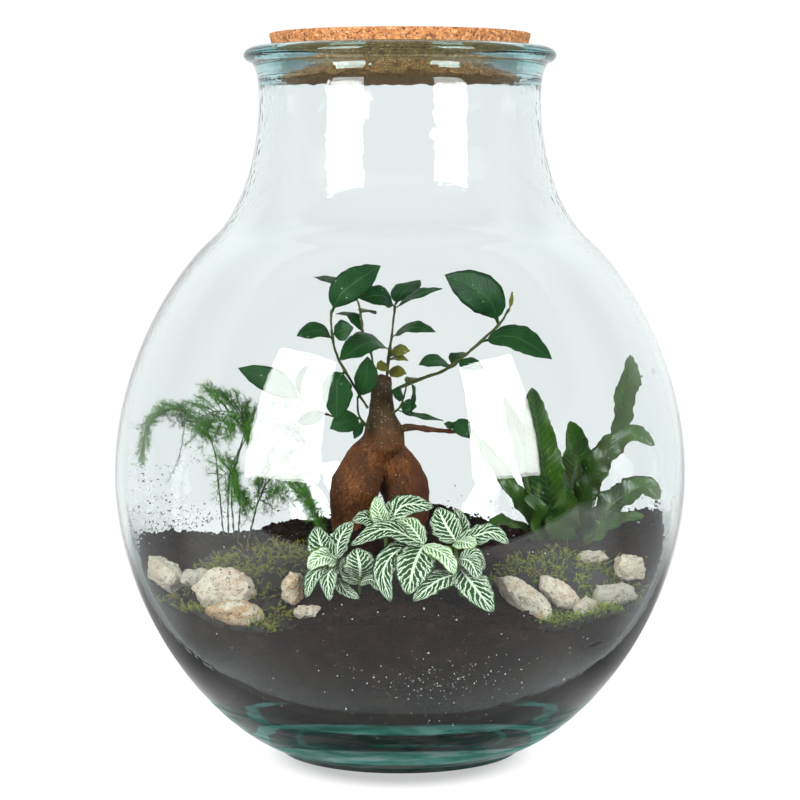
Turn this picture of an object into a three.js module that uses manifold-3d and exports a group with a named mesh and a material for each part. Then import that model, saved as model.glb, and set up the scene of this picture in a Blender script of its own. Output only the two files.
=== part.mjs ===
// A closed glass plant terrarium: a round-bellied glass jar with a wide neck and a tapered cork
// stopper, filled with soil that carries a small ficus with a swollen two-legged trunk, a plumy
// asparagus fern, a nest fern, a low fittonia, moss cushions and rough stones.
// Millimetres, +Z up, origin at the middle of the foot on the surface it stands on, -Y is the front.
import * as THREE from "three";
import { mergeVertices } from "three/addons/utils/BufferGeometryUtils.js";
import Module from "manifold-3d";

const wasm = await Module();
wasm.setup();

// Driving dimensions of the jar
const bellyRadius = 166;
const bellyHeight = 163;
const neckRadius = 81.6;
const neckTop = 386;
const wall = 4.6;
const footRadius = 70;
const footHollow = 2;
const floorHeight = 15.5;
const rimCentre = { radius: 81.4, height: 404.6 };
const rimHalfWidth = 8.9;
const rimHalfHeight = 5;
const jarSides = 32;

// Driving dimensions of the stopper
const corkTop = 417;
const corkThickness = 23.5;
const corkTopRadius = 75.6;
const corkBottomRadius = 69;
const corkChamfer = 1.5;

// Clearances
const gap = 0.35;
const spaceInset = 1.2;

// The soil lies at this height, raised and sunk by round mounds and hollows
const soilLevel = 116;
const soilMounds = [
  { at: [-10, 35], rise: 10, spread: 46 },
  { at: [-105, 25], rise: 3, spread: 36 },
  { at: [-152, 12], rise: 4, spread: 32 },
  { at: [100, 25], rise: 5, spread: 34 },
  { at: [160, 30], rise: 18, spread: 34 },
  { at: [0, -150], rise: -12, spread: 60 },
  { at: [-90, -118], rise: -23, spread: 42 },
  { at: [97, -114], rise: -23, spread: 42 },
  { at: [-150, -62], rise: -15, spread: 30 },
  { at: [150, -62], rise: -14, spread: 30 },
  { at: [10, 90], rise: 13, spread: 30 },
  { at: [-105, 130], rise: -12, spread: 46 },
  { at: [90, 130], rise: -7, spread: 40 },
  { at: [-68, 72], rise: 6, spread: 16 },
];

const finish = (color, roughness) => new THREE.MeshStandardMaterial({ color, roughness, metalness: 0 });
const glassFinish = new THREE.MeshStandardMaterial({
  color: 0xbfe0d8,
  roughness: 0.05,
  metalness: 0,
  transparent: true,
  opacity: 0.35,
});
const corkFinish = finish(0xc98f56, 0.9);
const soilFinish = finish(0x2f2624, 1);
const barkFinish = finish(0x6f4328, 0.8);
const ficusFinish = finish(0x2b5a2c, 0.4);
const plumeFinish = finish(0x3f7a3a, 0.7);
const nestFernFinish = finish(0x3f6b24, 0.4);
const fittoniaFinish = finish(0xa9cf9a, 0.6);
const mossFinish = finish(0x6d7f2c, 1);
const stoneFinish = finish(0xcdb99d, 0.95);

const terrarium = new THREE.Group();

// Small helpers

const vector = (p) => new THREE.Vector3(...p);

// Repeatable random numbers from 0 to 1.
function seededRandom(seed) {
  let state = seed;
  return () => {
    state = (state + 0x6d2b79f5) | 0;
    let t = Math.imul(state ^ (state >>> 15), 1 | state);
    t = (t + Math.imul(t ^ (t >>> 7), 61 | t)) ^ t;
    return ((t ^ (t >>> 14)) >>> 0) / 4294967296;
  };
}

// A list of values read at a share of its length, from 0 to 1.
function valueAlong(values, share) {
  const place = share * (values.length - 1);
  const index = Math.min(Math.floor(place), values.length - 2);
  return THREE.MathUtils.lerp(values[index], values[index + 1], place - index);
}

// A geometry as a solid, with its faces turned out.
function solidOf(geometry) {
  const plain = new THREE.BufferGeometry();
  plain.setAttribute("position", geometry.getAttribute("position"));
  if (geometry.index) plain.setIndex(geometry.index);
  const merged = mergeVertices(plain, 1e-4);
  const vertProperties = new Float32Array(merged.attributes.position.array);
  const make = (triVerts) => new wasm.Manifold(new wasm.Mesh({ numProp: 3, vertProperties, triVerts }));
  const faces = Uint32Array.from(merged.index.array);
  const solid = make(faces);
  return solid.volume() > 0 ? solid : make(faces.reverse());
}

const joined = (solids) => wasm.Manifold.union(solids);

// A plain box round the part of a solid below a height, with a gap on every side.
function roomBelow(solid, height) {
  const { min, max } = solid.trimByPlane([0, 0, -1], -height).boundingBox();
  const size = max.map((v, i) => v - min[i] + 3 * gap);
  return wasm.Manifold.cube(size, true).translate(max.map((v, i) => (v + min[i]) / 2));
}

// The largest body of a solid, without the scraps that a cut may leave.
function largest(solid) {
  return solid.decompose().reduce((best, body) => (body.volume() > best.volume() ? body : best));
}

function addPart(name, solid, material) {
  const mesh = solid.getMesh();
  const count = mesh.numVert;
  const positions = new Float32Array(count * 3);
  for (let i = 0; i < count; i++) {
    positions.set(mesh.vertProperties.subarray(i * mesh.numProp, i * mesh.numProp + 3), i * 3);
  }
  const geometry = new THREE.BufferGeometry();
  geometry.setAttribute("position", new THREE.BufferAttribute(positions, 3));
  geometry.setIndex(new THREE.BufferAttribute(mesh.triVerts, 1));
  geometry.computeVertexNormals();
  const part = new THREE.Mesh(geometry, material);
  part.name = name;
  terrarium.add(part);
  return solid;
}

// A closed skin over rings with the same number of points, with a pole at each end. Its squares are
// split in turn one way and the other, so that the two faces of a thin leaf are split alike.
function skin(rings, firstPole, lastPole) {
  const sides = rings[0].length;
  const points = [firstPole, ...rings.flat(), lastPole];
  const last = points.length - 1;
  const faces = [];
  for (let k = 0; k < sides; k++) {
    const next = (k + 1) % sides;
    faces.push(0, 1 + next, 1 + k);
    for (let ring = 0; ring < rings.length - 1; ring++) {
      const here = 1 + ring * sides;
      const above = here + sides;
      if (k % 2) faces.push(here + k, here + next, above + next, here + k, above + next, above + k);
      else faces.push(here + k, here + next, above + k, here + next, above + next, above + k);
    }
    const top = 1 + (rings.length - 1) * sides;
    faces.push(last, top + k, top + next);
  }
  const geometry = new THREE.BufferGeometry().setFromPoints(points);
  geometry.setIndex(faces);
  return geometry;
}

// A tapering round branch along a smooth line through the points.
function limb(points, radii, sides = 5, steps = points.length * 2 - 1) {
  const curve = new THREE.CatmullRomCurve3(points.map(vector), false, "centripetal");
  const frames = curve.computeFrenetFrames(steps, false);
  const rings = [];
  for (let i = 0; i <= steps; i++) {
    const centre = curve.getPointAt(i / steps);
    const radius = valueAlong(radii, i / steps);
    const ring = [];
    for (let k = 0; k < sides; k++) {
      const angle = (2 * Math.PI * k) / sides;
      ring.push(
        centre
          .clone()
          .addScaledVector(frames.normals[i], radius * Math.cos(angle))
          .addScaledVector(frames.binormals[i], radius * Math.sin(angle)),
      );
    }
    rings.push(ring);
  }
  const start = curve.getPointAt(0).addScaledVector(frames.tangents[0], -0.3 * radii[0]);
  const end = curve.getPointAt(1).addScaledVector(frames.tangents[steps], 0.3 * radii.at(-1));
  return solidOf(skin(rings, start, end));
}

// Half-widths of a leaf from its stalk to its tip, as a share of the widest.
const oval = (t) => Math.sin(Math.PI * Math.pow(t, 0.85)) ** 0.8;
const pointed = (t) => Math.sin(Math.PI * Math.pow(t, 0.75)) ** 0.9;
const strap = (t) => Math.min(1, 0.22 + 1.5 * t) * Math.sin(Math.PI * Math.min(1, 0.42 + 0.58 * t)) ** 0.5;

// A thin leaf along a smooth midrib. Its section is a flat diamond, its two halves are folded up
// by `fold`, and its edges rise and fall `waves` times by `wave`.
function blade({
  points,
  width,
  up = [0, 0, 1],
  outline = oval,
  fold = 0.15,
  wave = 0,
  waves = 3,
  steps = 6,
  stalk = 0.7,
  thickness = 1.2,
}) {
  const line = points.length > 2 ? points : arched(points[0], points[1], up);
  const curve = new THREE.CatmullRomCurve3(line.map(vector), false, "centripetal");
  const rings = [];
  for (let i = 1; i < steps; i++) {
    const t = i / steps;
    const tangent = curve.getTangentAt(t);
    const side = tangent.clone().cross(vector(up)).normalize();
    const normal = side.clone().cross(tangent).normalize();
    const reach = Math.max(stalk, 0.5 * width * outline(t));
    const centre = curve.getPointAt(t);
    const edge = (sign) =>
      centre
        .clone()
        .addScaledVector(side, sign * reach)
        .addScaledVector(normal, fold * reach + wave * Math.sin(2 * Math.PI * waves * t + sign));
    rings.push([
      edge(1),
      centre.clone().addScaledVector(normal, thickness / 2),
      edge(-1),
      centre.clone().addScaledVector(normal, -thickness / 2),
    ]);
  }
  return solidOf(skin(rings, curve.getPointAt(0), curve.getPointAt(1)));
}

// Three points from a leaf's stalk to its tip, with the middle one raised a tenth of the length.
function arched(start, end, up) {
  const a = vector(start);
  const b = vector(end);
  const middle = a.clone().lerp(b, 0.5).addScaledVector(vector(up).normalize(), 0.1 * a.distanceTo(b));
  return [start, middle.toArray(), end];
}

// The jar: one turned wall from the foot up over the rim and down inside to the floor.

const joint = { radius: 108.3, height: 300.2, slope: [-0.763, 0.647], handle: 30.8, handleUp: 18.5 };

// The bowl, the upper belly and the shoulder as three curves; `inset` moves them inwards.
function jarCurves(inset, footPoint, footHandle) {
  const belly = bellyRadius - inset;
  const neck = neckRadius - inset;
  const [sx, sz] = joint.slope;
  const middle = new THREE.Vector2(joint.radius - inset * sz, joint.height + inset * sx);
  const point = (x, z) => new THREE.Vector2(x, z);
  return {
    bowl: new THREE.CubicBezierCurve(footPoint, footHandle, point(belly, 88), point(belly, bellyHeight)),
    upper: new THREE.CubicBezierCurve(
      point(belly, bellyHeight),
      point(belly, 225),
      point(middle.x - joint.handle * sx, middle.y - joint.handle * sz),
      middle,
    ),
    shoulder: new THREE.CubicBezierCurve(
      middle,
      point(middle.x + joint.handleUp * sx, middle.y + joint.handleUp * sz),
      point(neck, 343),
      point(neck, 380),
    ),
  };
}

const outerCurves = jarCurves(0, new THREE.Vector2(71.5, 2.5), new THREE.Vector2(114.5, 17.5));
const innerCurves = jarCurves(wall, new THREE.Vector2(46, floorHeight), new THREE.Vector2(108, 16.5));

const onRim = (degrees) =>
  new THREE.Vector2(
    rimCentre.radius + rimHalfWidth * Math.cos(THREE.MathUtils.degToRad(degrees)),
    rimCentre.height + rimHalfHeight * Math.sin(THREE.MathUtils.degToRad(degrees)),
  );

function jarProfile() {
  const outer = [
    new THREE.Vector2(0, footHollow),
    new THREE.Vector2(footRadius - 13, footHollow),
    new THREE.Vector2(footRadius - 10, 0),
    new THREE.Vector2(footRadius, 0),
    ...outerCurves.bowl.getPoints(7),
    ...outerCurves.upper.getPoints(4).slice(1),
    ...outerCurves.shoulder.getPoints(4).slice(1),
    new THREE.Vector2(neckRadius, neckTop),
    new THREE.Vector2(neckRadius + 2, neckTop + 10),
  ];
  const rim = [-45, -5, 35, 80, 125, 170, 215].map(onRim);
  const inner = [
    new THREE.Vector2(neckRadius - wall, neckTop + 8),
    ...innerCurves.shoulder.getPoints(3).reverse(),
    ...innerCurves.upper.getPoints(4).reverse().slice(1),
    ...innerCurves.bowl.getPoints(7).reverse().slice(1),
    new THREE.Vector2(0, floorHeight),
  ];
  return [...outer, ...rim, ...inner];
}

function turned(profile) {
  const geometry = new THREE.LatheGeometry(profile, jarSides);
  geometry.rotateX(Math.PI / 2);
  return solidOf(geometry);
}

const innerWall = [...innerCurves.bowl.getPoints(7), ...innerCurves.upper.getPoints(4).slice(1)];

// The inner radius of the jar at a height, read along the same faceted wall.
function innerRadiusAt(height) {
  const index = Math.max(1, innerWall.findIndex((p) => p.y > height));
  const [low, high] = [innerWall[index - 1], innerWall[index]];
  const share = THREE.MathUtils.clamp((height - low.y) / (high.y - low.y), 0, 1);
  return THREE.MathUtils.lerp(low.x, high.x, share);
}

addPart("glass_jar", turned(jarProfile()), glassFinish);

// The space inside the jar, a little smaller than its wall, which holds the moss.
const innerSpace = turned([
  new THREE.Vector2(0, floorHeight + spaceInset),
  ...innerWall.slice(1).map((p) => new THREE.Vector2(p.x - spaceInset, p.y + 0.2 * spaceInset)),
  new THREE.Vector2(0, 297),
]);

// The stopper: a tapered disc of cork that seats on the inner edge of the rim.

function corkRadiusAt(height) {
  const share = (height - (corkTop - corkThickness)) / corkThickness;
  return THREE.MathUtils.lerp(corkBottomRadius, corkTopRadius, share);
}

const corkBottom = corkTop - corkThickness;
addPart(
  "cork_stopper",
  turned([
    new THREE.Vector2(0, corkBottom),
    new THREE.Vector2(corkRadiusAt(corkBottom) - corkChamfer, corkBottom),
    new THREE.Vector2(corkRadiusAt(corkBottom + corkChamfer), corkBottom + corkChamfer),
    new THREE.Vector2(corkRadiusAt(corkTop - corkChamfer), corkTop - corkChamfer),
    new THREE.Vector2(corkRadiusAt(corkTop) - corkChamfer, corkTop),
    new THREE.Vector2(0, corkTop),
  ]),
  corkFinish,
);

// The soil: it fills the bowl up to an uneven top.

function soilHeight(x, y) {
  const mound = ({ at, rise, spread }) =>
    rise * Math.exp(-((x - at[0]) ** 2 + (y - at[1]) ** 2) / (2 * spread ** 2));
  const ripple = 1.2 * Math.sin(x / 7 + 1) * Math.cos(y / 6);
  return soilMounds.reduce((height, m) => height + mound(m), soilLevel) + ripple;
}

function soilGeometry() {
  const topShares = [0.18, 0.36, 0.54, 0.72, 0.88, 1];
  const sideShares = [0.75, 0.5, 0.3, 0.13, 0];
  const bottom = floorHeight + gap;
  const columns = [];
  for (let k = 0; k < jarSides; k++) {
    const angle = (2 * Math.PI * k) / jarSides;
    const [cos, sin] = [Math.cos(angle), Math.sin(angle)];
    let edge = 150;
    for (let pass = 0; pass < 20; pass++) {
      edge = innerRadiusAt(soilHeight(edge * cos, edge * sin)) - gap;
    }
    const edgeHeight = soilHeight(edge * cos, edge * sin);
    const top = topShares.map((share) => {
      const [x, y] = [edge * share * cos, edge * share * sin];
      return new THREE.Vector3(x, y, soilHeight(x, y));
    });
    const side = sideShares.map((share) => {
      const height = THREE.MathUtils.lerp(bottom, edgeHeight, share);
      const radius = innerRadiusAt(height) - 2 * gap;
      return new THREE.Vector3(radius * cos, radius * sin, height + gap);
    });
    columns.push([...top, ...side]);
  }
  const rings = columns[0].map((_, level) => columns.map((column) => column[level]));
  const crown = new THREE.Vector3(0, 0, soilHeight(0, 0));
  return skin(rings, crown, new THREE.Vector3(0, 0, bottom + gap));
}

const wholeSoil = solidOf(soilGeometry());
const beds = [];
const footHeight = 129;

// The stones: angular lumps with flat broken sides, each lying in its own bed in the soil.
// `turn` is about the vertical and `lean` tips the right-hand end down, in degrees; `peak` narrows
// a stone towards its top.
const stones = [
  { name: "stone_left_long", at: [-134, -43, 110], size: [43, 17, 22], turn: -56, lean: 9, seed: 3 },
  { name: "stone_left_grey", at: [-114, -62, 110], size: [22, 13, 15], turn: -8, lean: 0, seed: 11 },
  { name: "stone_left_pointed", at: [-96, -80, 108], size: [39, 18, 32], turn: 6, lean: -4, seed: 7,
    peak: 0.6 },
  { name: "stone_left_ochre", at: [-90.5, -98, 96.5], size: [40, 15, 20], turn: -20, lean: -6, seed: 21 },
  { name: "stone_left_small", at: [-59, -89, 109], size: [16, 13, 22], turn: 0, lean: 14, seed: 5 },
  { name: "stone_left_buried", at: [-50, -105, 99], size: [19, 12, 10], turn: 16, lean: 0, seed: 15 },
  { name: "stone_right_long", at: [68, -87, 102], size: [47, 18, 19], turn: -38, lean: 24, seed: 9 },
  { name: "stone_right_oval", at: [88, -77, 104], size: [33, 13, 17], turn: -14, lean: 38, seed: 13 },
  { name: "stone_right_wedge", at: [102, -87, 95], size: [19, 12, 25], turn: 14, lean: -14, seed: 17 },
  { name: "stone_right_grey", at: [119, -65, 101], size: [31, 15, 17], turn: 22, lean: -8, seed: 19 },
  { name: "stone_right_tall", at: [131, -42, 113], size: [25, 18, 20], turn: 46, lean: 8, seed: 23 },
  { name: "stone_right_back", at: [111, -30, 117], size: [21, 13, 10], turn: 0, lean: 0, seed: 25 },
  { name: "stone_right_low", at: [90, -99, 86], size: [12, 10, 14], turn: -10, lean: 25, seed: 27 },
];

const stoneCorners = 20;

// A rough block: the hull of seeded corners, `grow` millimetres too large all round.
function stoneSolid({ at, size, turn, lean, peak = 0, seed }, grow = 0) {
  const random = seededRandom(seed);
  const corners = Array.from({ length: stoneCorners }, (_, i) => {
    const height = 1 - (2 * i + 1) / stoneCorners;
    const angle = 2.4 * i + 0.8 * random();
    const level = Math.sqrt(1 - height ** 2) * (1 - peak * Math.max(0, height));
    const reach = 0.8 + 0.2 * random();
    const corner = [level * Math.cos(angle), level * Math.sin(angle), height];
    return corner.map((v) => Math.sign(v) * Math.abs(v) ** 0.8 * reach);
  });
  return wasm.Manifold.hull(corners)
    .scale(size.map((s) => s / 2 + grow))
    .rotate([0, lean, 0])
    .rotate([0, 0, turn])
    .translate(at);
}

const stoneSpaces = joined(stones.map((stone) => stoneSolid(stone, 1.4 * gap)));
stones.forEach((stone) => addPart(stone.name, stoneSolid(stone), stoneFinish));

// The moss: two mats of cushions that follow the soil, with a tufted top, cut round the stones.
const mossMats = [
  {
    name: "moss_mat_left",
    cushions: [
      { at: [-80, -42], reach: [44, 26], turn: -8, height: 9, seed: 31 },
      { at: [-97, -90], reach: [46, 33], turn: -34, height: 7, seed: 33 },
    ],
  },
  {
    name: "moss_mat_right",
    cushions: [
      { at: [92, -54], reach: [46, 25], turn: 14, height: 10, seed: 35 },
      { at: [106, -92], reach: [42, 30], turn: 36, height: 7, seed: 37 },
    ],
  },
];

const mossRings = 4;
const mossSides = 12;

function mossCushion({ at, reach, turn, height, seed }) {
  const random = seededRandom(seed);
  const spin = THREE.MathUtils.degToRad(turn);
  const lobes = Array.from({ length: mossSides }, () => 0.84 + 0.3 * random());
  const place = (share, k) => {
    const angle = (2 * Math.PI * k) / mossSides;
    const u = reach[0] * share * lobes[k] * Math.cos(angle);
    const v = reach[1] * share * lobes[k] * Math.sin(angle);
    return [at[0] + u * Math.cos(spin) - v * Math.sin(spin), at[1] + u * Math.sin(spin) + v * Math.cos(spin)];
  };
  const rings = [];
  for (let ring = 1; ring <= mossRings; ring++) {
    const share = ring / mossRings;
    const dome = Math.sqrt(1 - (share * 0.97) ** 2);
    rings.push(
      Array.from({ length: mossSides }, (_, k) => {
        const [x, y] = place(share, k);
        return new THREE.Vector3(x, y, soilHeight(x, y) + height * dome * (0.3 + 1.4 * random()));
      }),
    );
  }
  const under = Array.from({ length: mossSides }, (_, k) => {
    const [x, y] = place(0.98, k);
    return new THREE.Vector3(x, y, soilHeight(x, y) - 6);
  });
  const [x, y] = at;
  const crown = new THREE.Vector3(x, y, soilHeight(x, y) + height);
  return solidOf(skin([...rings, under], crown, new THREE.Vector3(x, y, soilHeight(x, y) - 12)));
}

// The ficus: two swollen root legs and a short cut-off stem, with a dead twig to the right.
const ficusLimbs = {
  stem: {
    points: [[-9, 27, 163], [-10, 26, 172], [-9.5, 26, 180], [-10.8, 25, 191], [-11, 25, 203],
      [-11, 25, 216]],
    radii: [5, 13, 11.6, 7.8, 6.5, 6],
  },
  leftLeg: {
    points: [[-13, 25, 180], [-20, 24, 168], [-25.5, 22, 154], [-30.5, 22, 139], [-33, 22, 118]],
    radii: [7, 12, 15.2, 9.8, 7],
  },
  rightLeg: {
    points: [[-9, 27, 180], [-4, 28, 168], [2, 31, 154], [4.5, 33, 140], [5, 33, 118]],
    radii: [6.5, 11, 14, 13, 8],
  },
  backRoot: {
    points: [[-8, 31, 160], [-3, 40, 147], [0, 46, 133], [2, 50, 118]],
    radii: [9, 9, 7, 5],
  },
  twig: {
    points: [[-4, 24, 183], [4, 23, 186], [18, 22, 185], [33, 20, 183.5]],
    radii: [3.4, 2.4, 1.7, 1.2],
  },
};

// Green shoots: a stem with leaves. A leaf is given by its points, its width and the side it shows.
const facing = [0.1, -1, 0.35];
const flat = [0, -0.35, 1];
const ficusShoots = [
  {
    name: "ficus_shoot_high_left",
    stem: [[-14.5, 26, 211], [-18, 31, 233], [-22, 35, 243], [-25, 39, 261], [-28, 41, 267]],
    radius: 1.1,
    leaves: [
      { points: [[-28, 41, 267], [-52, 44, 277]], width: 13, up: flat },
      { points: [[-21.5, 35, 242], [-29, 40, 253], [-39, 44, 254]], width: 9, up: flat },
      { points: [[-25, 38, 254], [-20, 47, 256], [-15, 57, 253]], width: 11, up: flat },
    ],
  },
  {
    name: "ficus_shoot_left",
    stem: [[-19, 20, 198], [-30, 11, 217], [-37, 5, 231], [-40, 1, 246], [-40, -1, 258]],
    radius: 1.1,
    leaves: [
      { points: [[-40, -1, 256], [-34, -3, 268], [-11, -2, 285]], width: 19, up: facing },
      { points: [[-39, 3, 241], [-46, -2, 246], [-60, -8, 243]], width: 14, up: [0.1, -0.6, 0.75] },
      { points: [[-39, 2, 244], [-27, -6, 248]], width: 13, up: facing },
      { points: [[-33, 9, 221], [-36, 1, 216], [-37, -3, 193]], width: 18, up: facing },
    ],
  },
  {
    name: "ficus_shoot_far_left",
    stem: [[-19, 22, 187], [-34, 12, 192], [-48, 4, 198], [-58, 0, 205]],
    radius: 0.9,
    leaves: [
      { points: [[-57, 0, 204], [-74, -5, 216], [-94, -9, 224]], width: 16, up: facing },
      { points: [[-44, 6, 196], [-60, -1, 191]], width: 9, up: facing },
      { points: [[-58, 0, 205], [-59, 2, 217], [-52, 4, 227]], width: 5, up: facing },
    ],
  },
  {
    name: "ficus_shoot_middle",
    stem: [[-8.5, 26, 210], [-7, 24, 226], [-5, 22, 241], [-3, 20, 260]],
    radius: 1.1,
    leaves: [
      { points: [[-3, 20, 259], [-10, 11, 266], [-24, 4, 265]], width: 16, up: [0.1, -0.75, 0.6] },
      { points: [[-3, 20, 260], [2, 30, 268], [12, 43, 275]], width: 16, up: [-0.2, -0.6, 0.8] },
      { points: [[-3, 20, 258], [8, 13, 266], [25, 7, 271]], width: 11, up: [0, -0.5, 0.85] },
      { points: [[-5, 22, 241], [6, 13, 247], [21, 4, 245]], width: 12, up: [0, -0.6, 0.8] },
      { points: [[-6, 23, 233], [-17, 9, 239], [-35, -12, 229]], width: 19, up: [0.1, -0.6, 0.75] },
      { points: [[-7, 24, 224], [-14, 14, 222]], width: 8, up: facing },
      { points: [[-6.5, 24, 228], [4, 35, 230]], width: 7, up: flat },
      { points: [[-7, 24, 220], [4, 14, 219]], width: 8, up: facing },
      { points: [[-6, 23, 232], [6, 13, 233]], width: 8, up: facing },
      { points: [[-6.5, 24, 227], [5, 13, 227]], width: 6, up: [0, -0.6, 0.8] },
    ],
  },
  {
    name: "ficus_shoot_right",
    stem: [[-8, 30, 206], [9, 33, 213], [27, 34, 220], [38, 34, 228], [48, 33, 237], [60, 32, 249],
      [65, 31, 257]],
    radius: 1.4,
    leaves: [
      { points: [[59, 32, 248], [53, 24, 263], [26, 16, 279]], width: 25, up: facing },
      { points: [[48, 33, 237], [66, 23, 241], [90, 13, 228]], width: 19, up: [0.1, -0.8, 0.6] },
      { points: [[31, 34, 222], [22, 25, 226], [11, 17, 224]], width: 12, up: [0, -0.7, 0.7] },
      { points: [[31, 34, 222], [38, 47, 230]], width: 10, up: flat },
      { points: [[34, 34, 225], [50, 22, 222]], width: 9, up: facing },
      { points: [[4, 32, 211], [10, 43, 214]], width: 9, up: flat },
    ],
  },
  {
    name: "ficus_shoot_low_left",
    stem: [[-18, 19, 186], [-24, 12, 194], [-25, 9, 206]],
    radius: 1,
    leaves: [
      { points: [[-25, 9, 205], [-20, 7, 216], [-19, 7, 230]], width: 14, up: facing },
      { points: [[-24, 12, 192], [-31, 2, 192], [-41, -6, 188]], width: 14, up: facing },
      { points: [[-22, 14, 191], [-27, 8, 181]], width: 6, up: facing },
    ],
  },
  {
    name: "ficus_shoot_low_right",
    stem: [[-6, 20, 194], [0, 16, 199], [3, 15, 208], [4, 15, 215]],
    radius: 0.9,
    leaves: [
      { points: [[4, 15, 214], [8, 11, 212], [6, 8, 194]], width: 6, up: [1, -0.5, 0.2] },
      { points: [[0, 16, 199], [10, 8, 200]], width: 9, up: facing },
      { points: [[2, 15, 205], [-5, 5, 209]], width: 9, up: facing },
      { points: [[-2, 18, 197], [12, 10, 194], [26, 4, 192]], width: 7, up: flat },
    ],
  },
  {
    name: "ficus_twig_leaf",
    stem: [[33, 20, 183.5], [31, 17, 190]],
    radius: 0.8,
    leaves: [
      { points: [[31, 17, 190], [36, 11, 188], [41, 8, 181]], width: 11, up: facing },
      { points: [[32, 19, 187], [26, 13, 189]], width: 5, up: facing },
    ],
  },
];

const shootSides = 5;

// A stem with its leaves, each of which starts from the nearest point of the stem.
function leafyStem(stem, radii, leaves, leafShape) {
  const curve = new THREE.CatmullRomCurve3(stem.map(vector), false, "centripetal");
  const nearest = (p) => {
    const away = (q) => q.distanceTo(vector(p));
    return curve.getPoints(60).reduce((best, q) => (away(q) < away(best) ? q : best));
  };
  const blades = leaves.map((leaf) => {
    const [first, ...rest] = leaf.points;
    const steps = leaf.width > 14 ? 6 : 5;
    return blade({ steps, ...leafShape, ...leaf, points: [nearest(first).toArray(), ...rest] });
  });
  return joined([limb(stem, radii, shootSides), ...blades]);
}

function shootSolid({ stem, radius, leaves }) {
  return leafyStem(stem, [radius * 1.15, radius, radius * 0.75], leaves, { thickness: 1 });
}

// The first stretch of a stem, `radius` thick, which leaves a plain hole in what it stands in.
function socket(stem, radius, length) {
  const curve = new THREE.CatmullRomCurve3(stem.map(vector), false, "centripetal");
  const share = Math.min(1, length / curve.getLength());
  const places = [0, 0.5, 1].map((t) => curve.getPointAt(t * share).toArray());
  const below = vector(places[0]).addScaledVector(curve.getTangentAt(0), -1).toArray();
  return limb([below, ...places], [radius, radius], 6, 2);
}

const trunkSides = 10;
const legSteps = 7;
const trunkWhole = joined(
  Object.entries(ficusLimbs).map(([name, { points, radii }]) =>
    name === "twig" ? limb(points, radii, 6) : limb(points, radii, trunkSides, legSteps),
  ),
);
beds.push(
  ...["leftLeg", "rightLeg", "backRoot"].map((name) => {
    const { points, radii } = ficusLimbs[name];
    return limb(points, radii.map((r) => r + 0.8), trunkSides, legSteps);
  }),
);
const shootSockets = joined(ficusShoots.map(({ stem, radius }) => socket(stem, radius * 1.15 + 0.5, 9)));
addPart("ficus_trunk", largest(trunkWhole.subtract(shootSockets)), barkFinish);
ficusShoots.forEach((shoot) => addPart(shoot.name, shootSolid(shoot), ficusFinish));

// The asparagus fern: bare wiry stems that bend over into flat plumes of side sprays with needles.
// `across` is the direction in which a plume's sprays spread.
const asparagusFronds = [
  {
    name: "asparagus_frond_far_left",
    points: [[-105, 20, 112], [-107.5, 20, 147], [-112, 20, 178], [-120.5, 17, 191], [-133, 13, 198],
      [-145, 8, 195], [-151, 4, 182], [-153, 1, 166]],
    across: [0.3, -1, 0.35],
    from: 0.48,
    spread: 18,
    pairs: 8,
  },
  {
    name: "asparagus_frond_high_left",
    points: [[-103, 26, 112], [-102, 26, 158], [-95, 22, 175], [-91.5, 18, 187], [-96, 10, 195.5],
      [-107, -2, 198], [-119, -18, 195]],
    across: [0.1, -0.85, -0.5],
    from: 0.56,
    spread: 24,
    pairs: 8,
  },
  {
    name: "asparagus_frond_back",
    points: [[-100, 34, 112], [-101, 36, 153], [-94, 38, 176], [-83, 37, 189], [-66, 33, 189],
      [-53, 29, 179]],
    across: [0.2, -0.8, -0.55],
    from: 0.56,
    spread: 21,
    pairs: 6,
  },
  {
    name: "asparagus_frond_right",
    points: [[-92, 16, 112], [-83, 12, 146], [-74, 8, 159], [-60, 3, 155], [-48, 2, 136]],
    across: [0.3, -0.8, -0.5],
    from: 0.4,
    spread: 22,
    pairs: 6,
  },
  {
    name: "asparagus_frond_low",
    points: [[-96, 4, 112], [-94, -2, 142], [-94, -10, 156], [-99, -18, 164], [-106, -26, 160]],
    across: [0.4, -0.6, -0.7],
    from: 0.46,
    spread: 16,
    pairs: 4,
  },
];

const needleReach = 7;

// A flat spray: a slim core with pairs of needles along it that point forwards.
function spray(from, to, across) {
  const along = to.clone().sub(from);
  const length = along.length();
  along.normalize();
  const side = across.clone().addScaledVector(along, -across.dot(along)).normalize();
  const normal = side.clone().cross(along);
  const section = (t, reach, forward) => {
    const centre = from.clone().addScaledVector(along, t * length);
    const edge = (sign) => centre.clone().addScaledVector(side, sign * reach).addScaledVector(along, forward);
    return [
      edge(1),
      centre.clone().addScaledVector(normal, 0.45),
      edge(-1),
      centre.clone().addScaledVector(normal, -0.45),
    ];
  };
  const rings = [
    section(0.22, 0.6, 0),
    section(0.3, needleReach, 3),
    section(0.45, 0.6, 0),
    section(0.53, 0.8 * needleReach, 3),
    section(0.7, 0.5, 0),
    section(0.78, 0.5 * needleReach, 2),
  ];
  return solidOf(skin(rings, from, to));
}

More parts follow.
